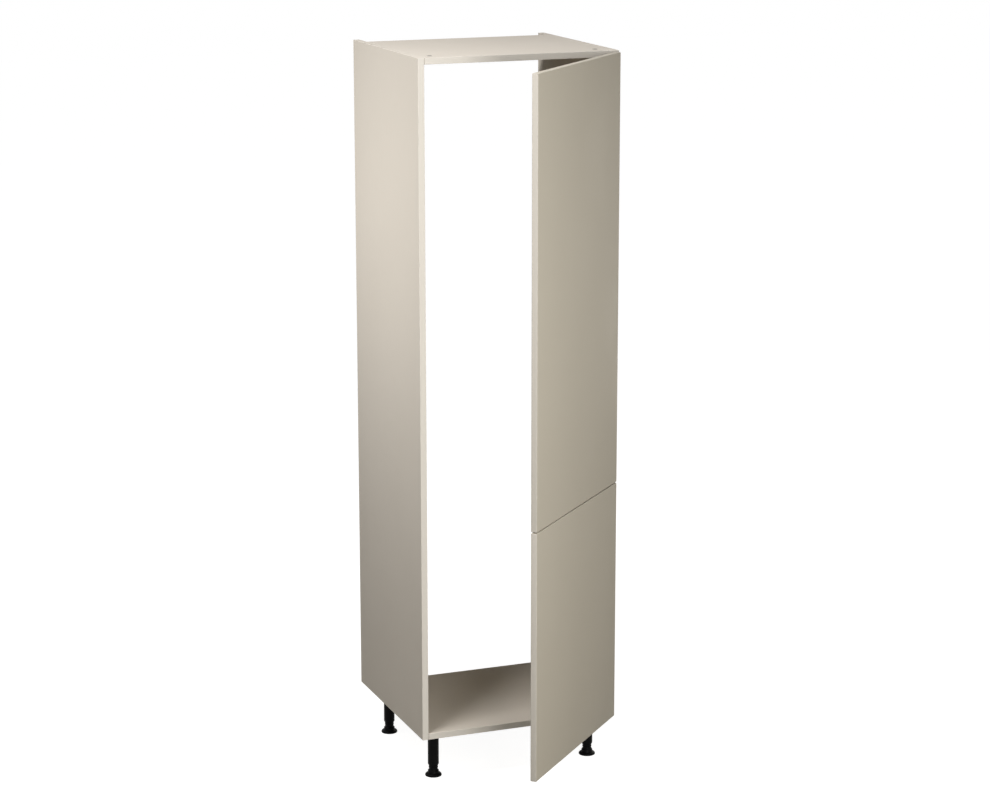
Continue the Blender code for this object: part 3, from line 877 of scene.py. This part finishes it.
@dataclass(frozen=True)
class PlasticFinish(Finish):
    """Black moulded plastic."""

    colour: Colour = (0.0016, 0.0016, 0.0018)
    bloom: Colour = (0.004, 0.004, 0.0043)
    roughness: float = 0.42
    bloom_roughness: float = 0.12
    specular: float = 0.05
    relief: float = 0.00002
    dust: float = 0.02
    dust_tone: Colour = (0.30, 0.28, 0.26)

    def material(self, name: str) -> bpy.types.Material:
        """Builds the plastic with its eroded skin, bloom and dust.

        Args:
            name: The material's name.

        Returns:
            The material.
        """
        graph = MaterialGraph(name)
        skin = PlasticSkin.add_to(graph, Place=graph.place)
        dust = SettledDust.add_to(graph, Place=graph.place, Amount=self.dust)
        colour = graph.blend(skin["Bloom"], self.colour, self.bloom)
        colour = graph.blend(dust["Veil"], colour, self.dust_tone)
        high = self.roughness + self.bloom_roughness
        rough = graph.span(skin["Bloom"], 0.0, 1.0, self.roughness, high)
        graph.set(Base_Color=colour, Roughness=rough, Specular_IOR_Level=self.specular)
        graph.bump(skin["Relief"], self.relief)
        return graph.material


@dataclass(frozen=True)
class MetalFinish(Finish):
    """Plated or cast metal."""

    bright: Colour = (0.74, 0.73, 0.71)
    dull: Colour = (0.55, 0.545, 0.535)
    gloss: float = 0.24
    matt: float = 0.40
    relief: float = 0.00001
    edge_tint: Colour = WHITE

    def material(self, name: str) -> bpy.types.Material:
        """Builds the metal with its rolling lines and scuffs.

        Args:
            name: The material's name.

        Returns:
            The material.
        """
        graph = MaterialGraph(name)
        skin = MetalSkin.add_to(graph, Place=graph.place)
        colour = graph.blend(skin["Tone"], self.dull, self.bright)
        rough = graph.span(skin["Gloss"], 0.0, 1.0, self.gloss, self.matt)
        graph.set(Base_Color=colour, Roughness=rough, Metallic=1.0, Specular_Tint=self.edge_tint)
        graph.bump(skin["Relief"], self.relief)
        return graph.material


# The unit's sub-assemblies


@dataclass
class Carcass:
    """The open box: two side boards, two decks and their front edging."""

    down: Point = (0.0, 0.0, -1.0)
    back: Point = (0.0, 1.0, 0.0)
    board: BoardFinish = BoardFinish()
    edging: BoardFinish = BoardFinish(
        pale=(0.68, 0.643, 0.58), deep=(0.645, 0.608, 0.545), roughness=0.42, arris_width=0.0005
    )

    def dress(self) -> Iterator[str]:
        """Puts the finishes on the frame's boards, with their sawn faces left raw.

        Yields:
            The name of each node dressed.
        """
        # The deck edging gets its band of painted shade at both ends, where it meets the sides.
        deck_edging_with_joint_shade = replace(self.edging, ends_at=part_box("top_edging")[1].x)
        sides, decks = (self.down, self.edging), (self.back, deck_edging_with_joint_shade)
        for name, plan in (("left", sides), ("right", sides), ("top", decks), ("bottom", decks)):
            raw_face, edging = plan
            board = replace(self.board, raw_face=raw_face)
            for node, finish in ((f"{name}_panel", board), (f"{name}_edging", edging)):
                skin = replace(finish, box=SkinBox.of_node(node)).material(node + "_skin")
                dress(skin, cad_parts[node])
                yield node


@dataclass(frozen=True)
class CrossHead:
    """A pan-head screw with a cross recess, modelled once and copied wherever one sits."""

    radius: float = 0.0036
    height: float = 0.00155
    root: float = 0.0004
    root_share: float = 0.97
    outline: Outline = (
        (1.0, 0.0), (1.0, 0.35), (0.95, 0.60), (0.80, 0.84), (0.55, 0.97), (0.30, 1.0),
    )
    recess_length: float = 0.0036
    recess_width: float = 0.0008
    recess_depth: float = 0.0010
    sides: int = 32
    turn: float = 20.0
    turn_step: float = 33.0

    def model(self, name: str) -> Piece:
        """Models the head on the XY plane, facing up.

        Args:
            name: The piece's name.

        Returns:
            The head.
        """
        rings = [(self.radius * self.root_share, -self.root)]
        rings += [(self.radius * across, self.height * up) for across, up in self.outline]
        head = turned(name, rings, self.sides)
        floor, above = self.height - self.recess_depth, self.height * 2
        cut_cross(head, self.recess_length, self.recess_width, floor, above)
        return smooth(head, degrees=38)

    def driven(self, index: int) -> Matrix:
        """How far round the screw of this number was driven, as each stops elsewhere."""
        return Matrix.Rotation(math.radians(self.turn + self.turn_step * index), 4, "Z")


@dataclass
class CamFittings:
    """The cams let into the two decks, with their driver recess and pressed ring, coloured dark as
    painted shade.
    """

    radius: float = 0.0075
    depth: float = 0.0122
    point_share: float = 0.94
    point_height: float = 0.0005
    edge_break: float = 0.0003
    rim_width: float = 0.0007
    rim_slope: float = 0.0002
    sunk: float = 0.0003
    slot_length: float = 0.0092
    slot_width: float = 0.0021
    slot_depth: float = 0.0026
    cutter_top: float = 0.002
    arrow_low: Point = (-0.0004, 0.0050, -0.0008)
    arrow_high: Point = (0.0004, 0.0064, 0.002)
    left_turn: float = math.radians(24)
    right_turn: float = math.radians(-31)
    sides: int = 48
    eased: float = 0.00008
    # Near-black metal and a dark edge tint as painted shade: real cams are bright zinc, and this
    # tone stands in for the shadow in their bores.
    finish: MetalFinish = MetalFinish(
        bright=(0.10, 0.10, 0.105),
        dull=(0.055, 0.055, 0.057),
        gloss=0.40,
        matt=0.58,
        edge_tint=(0.15, 0.15, 0.15),
    )

    def model(self) -> Piece:
        """Models a cam that faces up, with its face on the XY plane.

        Returns:
            The cam.
        """
        radius, rim = self.radius, self.radius - self.rim_width
        rings = [
            (radius * self.point_share, -self.depth),
            (radius, -self.depth + self.point_height),
            (radius, -self.edge_break),
            (radius - self.edge_break, 0.0),
            (rim, 0.0),
            (rim - self.rim_slope, -self.sunk),
        ]
        cam = turned("cam_model", rings, self.sides)
        cut_cross(cam, self.slot_length, self.slot_width, -self.slot_depth, self.cutter_top)
        cut_out(cam, box_piece("arrow", self.arrow_low, self.arrow_high))
        return smooth(ease_edges(cam, self.eased, steps=1, degrees=50), degrees=40)

    def build(self) -> Iterator[str]:
        """Copies the cam into all four bores.

        Yields:
            The name of each piece.
        """
        model = self.model()
        dress(self.finish.material("cam_metal_painted_shade"), model)
        for deck, flip in (("top", 0.0), ("bottom", math.pi)):
            for side, turn in (("left", self.left_turn), ("right", self.right_turn)):
                node = f"{deck}_{side}_cam"
                low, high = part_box(node)
                middle = (low + high) / 2
                spot = Matrix.Translation((middle.x, middle.y, low.z if flip else high.z))
                change = spot @ Matrix.Rotation(flip, 4, "X") @ Matrix.Rotation(turn, 4, "Z")
                yield stand_in(model, change, "carcass", Slot.CAM, node)
        discard(model)


@dataclass
class Legs:
    """The four legs: screwed socket, plain tube and ringed, domed foot."""

    carcass_bottom: float = 0.136
    seat: float = 0.0003
    edge_break: float = 0.0003
    overlap: float = 0.001
    sides: int = 64
    plate_half: float = 0.030
    plate_thickness: float = 0.003
    plate_corner: float = 0.010
    bore: float = 0.0155
    socket_wall: float = 0.0025
    socket_depth: float = 0.018
    rib_reach: float = 0.0265
    rib_thickness: float = 0.0018
    rib_rise: float = 0.0025
    rib_slope: Point = (0.83, 0.0, -0.56)
    screw: CrossHead = CrossHead(radius=0.0039, height=0.0018, turn=17.0, turn_step=41.0)
    screw_spacing: float = 0.0215
    tube_radius: float = 0.0152
    tube_length: float = 0.0975
    tube_lead: Pair = (0.0006, 0.0008)
    barrel_radius: float = 0.0162
    barrel_profile: Outline = (
        (0.0, 0.0062), (0.0003, 0.0059), (0.0003, 0.0051), (0.0, 0.0048),
        (0.0, 0.0016), (0.0003, 0.0006), (0.0008, 0.0),
    )
    mouth_clearance: float = 0.0012
    mouth_depth: float = 0.0600
    neck_radius: float = 0.0129
    neck_chamfer: float = 0.0008
    neck_seen: float = 0.0156
    neck_engaged: float = 0.045
    first_ring: float = 0.0058
    last_ring: float = 0.0022
    ring_pitch: float = 0.0055
    ring_profile: Outline = (
        (0.0, 0.0016), (0.0010, 0.0007), (0.0010, -0.0007), (0.0, -0.0016),
    )
    collar_radius: float = 0.01635
    collar_height: float = 0.0110
    collar_slope: Pair = (0.74, 0.66)
    foot_radius: float = 0.0245
    dome_steps: int = 8
    rim: float = 0.0022
    rim_profile: Outline = (
        (0.0, 0.0010), (0.0003, 0.0003), (0.0010, 0.0), (0.0030, 0.0), (0.0034, 0.0012),
    )
    hollow: Pair = (0.0060, 0.0012)
    plastic: PlasticFinish = PlasticFinish()
    steel: MetalFinish = MetalFinish()

    @property
    def plate_under(self) -> float:
        """The height of the plate's underside, below the carcass."""
        return -self.seat - self.plate_thickness

    @property
    def tube_top(self) -> float:
        """The height of the tube's top, below the carcass."""
        return self.plate_under - self.seat

    @property
    def collar_top(self) -> float:
        """The height where the neck meets the collar."""
        return self.tube_top - self.tube_length - self.neck_seen

    def model_socket(self) -> Piece:
        """Models the plate, its barrel and its four ribs.

        Returns:
            The socket, with its top just under the XY plane.
        """
        half, under, low = self.plate_half, self.plate_under, -self.socket_depth
        plate = box_piece("socket_model", (-half, -half, under), (half, half, -self.seat))
        tall = self.plate_thickness / 2
        round_edges(plate, self.plate_corner, steps=8, test=lambda a, b: abs(a.z - b.z) > tall)
        wall, top = self.bore + self.socket_wall, under + self.overlap
        add_shape(plate, rod_piece("barrel", wall, low, top, self.sides))
        side = self.rib_thickness / 2
        for quarter in range(4):
            near = (self.bore + self.socket_wall / 2, -side, low + self.rib_rise)
            rib = box_piece("rib", near, (self.rib_reach, side, top))
            with editing(rib):
                bpy.ops.mesh.bisect(
                    plane_co=(self.rib_reach, 0, under),
                    plane_no=self.rib_slope,
                    use_fill=True,
                    clear_outer=True,
                )
            add_shape(plate, moved(rib, Matrix.Rotation(math.pi / 2 * quarter, 4, "Z")))
        cut_out(plate, rod_piece("hollow", self.bore, low - 2 * self.overlap, under, self.sides))
        return smooth(ease_edges(plate, self.edge_break, steps=2, degrees=40), degrees=32)

    def model_tube(self) -> Piece:
        """Models the tube, slim in its socket, with a groove and a rounded mouth below.

        Returns:
            The tube.
        """
        top, bottom = self.tube_top, self.tube_top - self.tube_length
        slim, outer, edge = self.tube_radius, self.barrel_radius, self.edge_break
        mouth, shoulder = self.neck_radius + self.mouth_clearance, -self.socket_depth - 2 * edge
        rings = [
            (slim - self.tube_lead[0], top),
            (slim, top - self.tube_lead[1]),
            (slim, shoulder),
            (outer - edge, shoulder),
            (outer, shoulder - edge),
            *((outer - inset, bottom + up) for inset, up in self.barrel_profile),
            (mouth, bottom),
            (mouth, bottom + self.mouth_depth),
        ]
        return smooth(turned("tube_model", rings, self.sides), degrees=40)

    def neck_rings(self) -> list[Pair]:
        """The ringed neck's outline, from its top down to the collar.

        Returns:
            Radius and height of each ring.
        """
        neck, top = self.neck_radius, self.collar_top + self.neck_engaged
        rings = [(neck - self.neck_chamfer, top), (neck, top - self.neck_chamfer)]
        height = top - self.first_ring
        while height > self.collar_top + self.last_ring:
            rings += [(neck + out, height + up) for out, up in self.ring_profile]
            height -= self.ring_pitch
        return rings

    def model_foot(self) -> Piece:
        """Models the ringed neck, flared collar, domed base and its hollow underside.

        Returns:
            The foot.
        """
        neck, collar, base = self.neck_radius, self.collar_radius, self.foot_radius
        top, bottom = self.collar_top, self.collar_top - self.collar_height
        slope_top, slope_bottom = (bottom + self.collar_height * up for up in self.collar_slope)
        floor, edge = -self.carcass_bottom, self.edge_break
        rings = self.neck_rings()
        rings += [
            (neck, top + 2 * edge),
            (neck + edge, top),
            (collar - 2 * edge, slope_top),
            (collar, slope_bottom),
            (collar, bottom + 2 * edge),
            (collar + edge, bottom),
        ]
        rim_top = floor + self.rim
        for step in range(1, self.dome_steps + 1):
            angle = math.pi / 2 * step / self.dome_steps
            radius = collar + (base - collar) * math.sin(angle)
            rings.append((radius, rim_top + (bottom - rim_top) * math.cos(angle)))
        rings += [(base - inset, floor + up) for inset, up in self.rim_profile]
        rings.append((self.hollow[0], floor + self.hollow[1]))
        return smooth(turned("foot_model", rings, self.sides), degrees=36)

    def build(self) -> Iterator[str]:
        """Copies the three models under all four corners.

        Yields:
            The name of each piece.
        """
        models = {
            "socket": self.model_socket(),
            "tube": self.model_tube(),
            "foot": self.model_foot(),
        }
        screw = self.screw.model("leg_screw_model")
        dress(self.plastic.material("leg_plastic"), *models.values())
        dress(self.steel.material("leg_screw_steel"), screw)
        for row in ("front", "back"):
            for side in ("left", "right"):
                yield from self.place_leg(f"{row}_{side}", models, screw)
        discard(screw, *models.values())

    def place_leg(self, corner: str, models: dict[str, Piece], screw: Piece) -> Iterator[str]:
        """Copies the models under one corner.

        Args:
            corner: The leg's corner, as in the frame's names.
            models: The finished models, by kind.
            screw: The finished screw.

        Yields:
            The name of each piece.
        """
        low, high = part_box(f"{corner}_leg_tube")
        middle = (low + high) / 2
        spot = Matrix.Translation((middle.x, middle.y, self.carcass_bottom))
        for kind, model in models.items():
            body = f"{corner}_foot" if kind == "foot" else "carcass"
            yield stand_in(model, spot, body, Slot.LEG, f"{corner}_leg_{kind}")
        down, heads = Matrix.Rotation(math.pi, 4, "X"), []
        for index, (x, y) in enumerate(((1, 1), (-1, 1), (-1, -1), (1, -1))):
            seat = (x * self.screw_spacing, y * self.screw_spacing, self.plate_under)
            change = spot @ Matrix.Translation(seat) @ down @ self.screw.driven(index)
            heads.append(twin(screw, f"{corner}_leg_screws_{index}", change))
        yield declare(join(*heads), "carcass", Slot.STEEL)


class HingePart(Enum):
    """The five pieces of a hinge."""

    PLATE = "plate"
    ARM = "arm"
    OUTER_LINK = "outer_link"
    INNER_LINK = "inner_link"
    CUP = "cup"

    def body(self, door: str) -> str:
        """The body that the piece rides on, at the hinge of a door's node."""
        bodies = {"plate": "carcass", "arm": "carcass", "cup": door}
        return bodies.get(self.value, door.replace("door", self.value + "s"))


@dataclass
class Hinges:
    """The concealed hinges, modelled once on the lowest one and copied to the others."""

    model_hinge: str = "lower_hinge_1"
    panel_face: float = 0.282
    carcass_front: float = -0.062838
    plate_top: float = 0.0023
    plate_setback: float = 0.037
    plate_screw_half: float = 0.016
    arm_top: float = 0.0112
    arm_screws: Pair = (0.050, 0.028)
    arm_pins: Outline = ((0.2747, -0.052838), (0.2689, -0.058338))
    arm_half: float = 0.0078
    flange_top: float = 0.0015
    flange_screw_half: float = 0.024
    screw: CrossHead = CrossHead()
    rivet_radius: float = 0.0019
    rivet_height: float = 0.0005
    rivet_root: float = 0.0003
    rivet_outline: Outline = ((1.0, 0.4), (0.8, 0.85), (0.4, 1.0))
    rivet_sides: int = 24
    eased: float = 0.00018
    pin: DoorPin = DoorPin()
    steel: MetalFinish = MetalFinish()

    def heads(self, part: HingePart, height: float) -> list[Matrix]:
        """Where screw heads sit on a piece of the model hinge.

        Args:
            part: The piece.
            height: The hinge's height.

        Returns:
            A place and turn for each head.
        """
        swing, facing, spots = Matrix(), Matrix.Rotation(-math.pi / 2, 4, "Y"), []
        if part is HingePart.PLATE:
            x, y = self.panel_face - self.plate_top, self.carcass_front + self.plate_setback
            spots = [(x, y, height + way * self.plate_screw_half) for way in (-1, 1)]
        elif part is HingePart.ARM:
            x = self.panel_face - self.arm_top
            spots = [(x, self.carcass_front + back, height) for back in self.arm_screws]
        elif part is HingePart.CUP:
            swing, facing = self.pin.change, Matrix.Rotation(-math.pi / 2, 4, "X")
            x, y = self.pin.cup_centre
            ends = (-self.flange_screw_half, self.flange_screw_half)
            spots = [(x, y + self.flange_top, height + end) for end in ends]
        return [swing @ Matrix.Translation(spot) @ facing for spot in spots]

    def rivets(self, height: float) -> list[Piece]:
        """Models the riveted ends of the arm's two pins.

        Args:
            height: The hinge's height.

        Returns:
            Four rivet heads.
        """
        radius, rise = self.rivet_radius, self.rivet_height
        rings = [(radius, -self.rivet_root)]
        rings += [(radius * across, rise * up) for across, up in self.rivet_outline]
        model = smooth(turned("rivet_model", rings, self.rivet_sides), degrees=50)
        made = []
        for x, y in self.arm_pins:
            for way, flip in ((1, 0.0), (-1, math.pi)):
                spot = Matrix.Translation((x, y, height + way * self.arm_half))
                made.append(twin(model, "rivet", spot @ Matrix.Rotation(flip, 4, "X")))
        discard(model)
        return made

    def model(self, part: HingePart, screw: Piece) -> Piece:
        """Models a piece on the model hinge.

        Args:
            part: The piece.
            screw: The finished screw head.

        Returns:
            The finished piece.
        """
        height = hinge_height(self.model_hinge)
        piece = refined_copy(f"{self.model_hinge}_{part.value}", f"hinge_{part.value}_model")
        smooth(ease_edges(piece, self.eased, steps=2, degrees=35), degrees=35)
        extras = []
        for index, change in enumerate(self.heads(part, height)):
            extras.append(twin(screw, "head", change @ self.screw.driven(index)))
        if part is HingePart.ARM:
            extras += self.rivets(height)
        return join(piece, *extras)

    def build(self) -> Iterator[str]:
        """Models the five pieces and copies them to every hinge.

        Yields:
            The name of each piece.
        """
        screw = self.screw.model("hinge_screw_model")
        models = {part: self.model(part, screw) for part in HingePart}
        dress(self.steel.material("hinge_steel"), *models.values())
        home = hinge_height(self.model_hinge)
        for door, hinges in HINGES.items():
            for hinge in hinges:
                change = Matrix.Translation((0, 0, hinge_height(hinge) - home))
                for part, model in models.items():
                    body, node = part.body(door), f"{hinge}_{part.value}"
                    yield stand_in(model, change, body, Slot.STEEL, node)
        discard(screw, *models.values())


@dataclass
class Doors:
    """The two slab doors, which stand ajar on their pins."""

    left: float = -0.298
    right: float = 0.298
    front: float = -0.083338
    back: float = -0.065338
    edge_radius: float = 0.0022
    edge_steps: int = 5
    cup_radius: float = 0.0178
    cup_depth: float = 0.0132
    cutter_top: float = 0.002
    cup_sides: int = 64
    pin: DoorPin = DoorPin()
    finish: BoardFinish = BoardFinish(
        pale=(0.529, 0.484, 0.399),
        deep=(0.496, 0.452, 0.368),
        roughness=0.46,
        arris_width=0.0012,
        ends_at=0.2986,
        ends=(0.488, 0.461, 0.427),
        dust=0.0,
    )

    def model(self, door: str) -> Piece:
        """Models and dresses a slab with rounded edges and a recess for each hinge cup.

        Args:
            door: The door's node.

        Returns:
            The slab, in its resting place.
        """
        low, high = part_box(door)
        corners = (self.left, self.front, low.z), (self.right, self.back, high.z)
        slab = box_piece(f"{door}_piece", *corners)
        round_edges(slab, self.edge_radius, self.edge_steps, lambda a, b: True)
        for hinge in HINGES[door]:
            spot = (*self.pin.cup_centre, hinge_height(hinge))
            change = Matrix.Translation(spot) @ Matrix.Rotation(-math.pi / 2, 4, "X")
            recess = (self.cup_radius, -self.cup_depth, self.cutter_top, self.cup_sides)
            cut_out(slab, moved(rod_piece("recess", *recess), change))
        box = SkinBox(*corners, self.pin)
        dress(replace(self.finish, box=box).material(f"{door}_skin"), slab)
        return moved(smooth(slab, degrees=30), self.pin.change)

    def build(self) -> Iterator[str]:
        """Models and declares both doors, and gives their names."""
        for door in ("upper_door", "lower_door"):
            yield declare(self.model(door), door, Slot.DOOR, door)


# The stage


@dataclass(frozen=True)
class SoftLamp:
    """A square soft lamp that faces the middle of the unit."""

    name: str
    place: Point
    size: float
    watts: float
    colour: Colour = WHITE

    def hang(self) -> None:
        """Adds the lamp to the scene."""
        lamp = bpy.data.lights.new(self.name, "AREA")
        lamp.energy, lamp.size, lamp.color = self.watts, self.size, self.colour
        holder = bpy.data.objects.new(self.name, lamp)
        bpy.context.scene.collection.objects.link(holder)
        way = Vector(UNIT_MIDDLE) - Vector(self.place)
        turn = way.to_track_quat("-Z", "Y").to_matrix().to_4x4()
        holder.matrix_world = Matrix.Translation(self.place) @ turn


@dataclass
class Studio:
    """The camera, the pale floor and the soft lights round the unit."""

    image_width: float = 990.0
    focal_pixels: float = 2720.8
    sensor_width: float = 36.0
    clip_end: float = 100.0
    camera_place: Point = (-2.8008, -7.0803, 2.883)
    yaw: float = 0.3705
    pitch: float = -0.2307
    roll: float = -0.0007
    floor_size: float = 40.0
    floor_tone: Colour = (0.36, 0.35, 0.325)
    glow_reach: Pair = (0.6, 3.0)
    glow: Pair = (0.94, 1.0)
    lamps: tuple[SoftLamp, ...] = (
        SoftLamp("key_lamp", (-1.5, -0.8, 4.4), 0.9, 106.0, (0.985, 0.985, 1.0)),
        SoftLamp("side_lamp", (-1.2, 0.3, 1.65), 0.9, 6.9),
        SoftLamp("front_lamp", (0.0, -2.6, 2.0), 1.4, 30.0),
        SoftLamp("low_lamp", (-0.3, -3.6, 1.2), 0.9, 45.0, (1.0, 0.985, 0.95)),
        SoftLamp("door_lamp", (0.5, -3.6, 2.0), 0.9, 9.5),
        SoftLamp("back_lamp", (3.0, 2.0, 1.0), 1.6, 24.0, (1.0, 0.93, 0.82)),
    )

    def build(self) -> None:
        """Sets the whole studio."""
        self.place_camera()
        self.lay_floor()
        self.whiten_room()
        for lamp in self.lamps:
            lamp.hang()
        bpy.context.scene.view_settings.view_transform = "Standard"

    def place_camera(self) -> None:
        """Stands the camera at the photograph's viewpoint."""
        lens = bpy.data.cameras.new("photo_camera")
        lens.sensor_width, lens.clip_end = self.sensor_width, self.clip_end
        lens.lens = self.focal_pixels / self.image_width * self.sensor_width
        camera = bpy.data.objects.new("photo_camera", lens)
        bpy.context.scene.collection.objects.link(camera)
        aside, along, level = math.sin(self.yaw), math.cos(self.yaw), math.cos(self.pitch)
        ahead = Vector((aside * level, along * level, math.sin(self.pitch)))
        right = Vector((along, -aside, 0))
        frame_turn = Matrix((right, right.cross(ahead), -ahead)).transposed()
        turn = frame_turn @ Matrix.Rotation(self.roll, 3, "Z")
        camera.matrix_world = Matrix.Translation(self.camera_place) @ turn.to_4x4()
        bpy.context.scene.camera = camera

    def lay_floor(self) -> None:
        """Lays a wide white floor that still takes the unit's shadow."""
        bpy.ops.mesh.primitive_plane_add(size=self.floor_size, location=(0, 0, 0))
        floor = fresh("studio_floor")
        graph = MaterialGraph("white_floor")
        graph.set(Base_Color=self.floor_tone, Roughness=1.0, Specular_IOR_Level=0.0)
        reach = graph.vector("LENGTH", graph.place)[1]
        far = graph.span(reach, *self.glow_reach, *self.glow)
        glow = graph.math("MULTIPLY", graph.seen_directly(), far)
        graph.set(Emission_Color=WHITE, Emission_Strength=glow)
        dress(graph.material, floor)
        floor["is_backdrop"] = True

    def whiten_room(self) -> None:
        """Shows the room as white, though it sheds no light on the unit."""
        world = bpy.data.worlds.new("white_room")
        world.use_nodes = True
        graph = Graph(world.node_tree)
        background = world.node_tree.nodes["Background"]
        graph.feed(background.inputs["Color"], WHITE)
        graph.feed(background.inputs["Strength"], graph.seen_directly())
        bpy.context.scene.world = world


def report(title: str, names: Iterable[str]) -> None:
    """Logs each piece of a sub-assembly as it is made."""
    for name in names:
        LOG.info("%s: %s", title, name)


def write_sizes() -> None:
    """Works out the box of the solids and of the dressed unit."""
    boxes = {"cad": CAD_BOX, "visual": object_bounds()}
    {key: [list(corner) for corner in box] for key, box in boxes.items()}


def main() -> None:
    """Builds the pieces in order, dresses the frame and sets the stage."""
    logging.basicConfig(level=logging.INFO, format="%(message)s")
    Studio().build()
    report("carcass", Carcass().dress())
    report("cam fittings", CamFittings().build())
    report("legs", Legs().build())
    report("hinges", Hinges().build())
    report("doors", Doors().build())
    write_sizes()


if __name__ == "__main__":
    main()
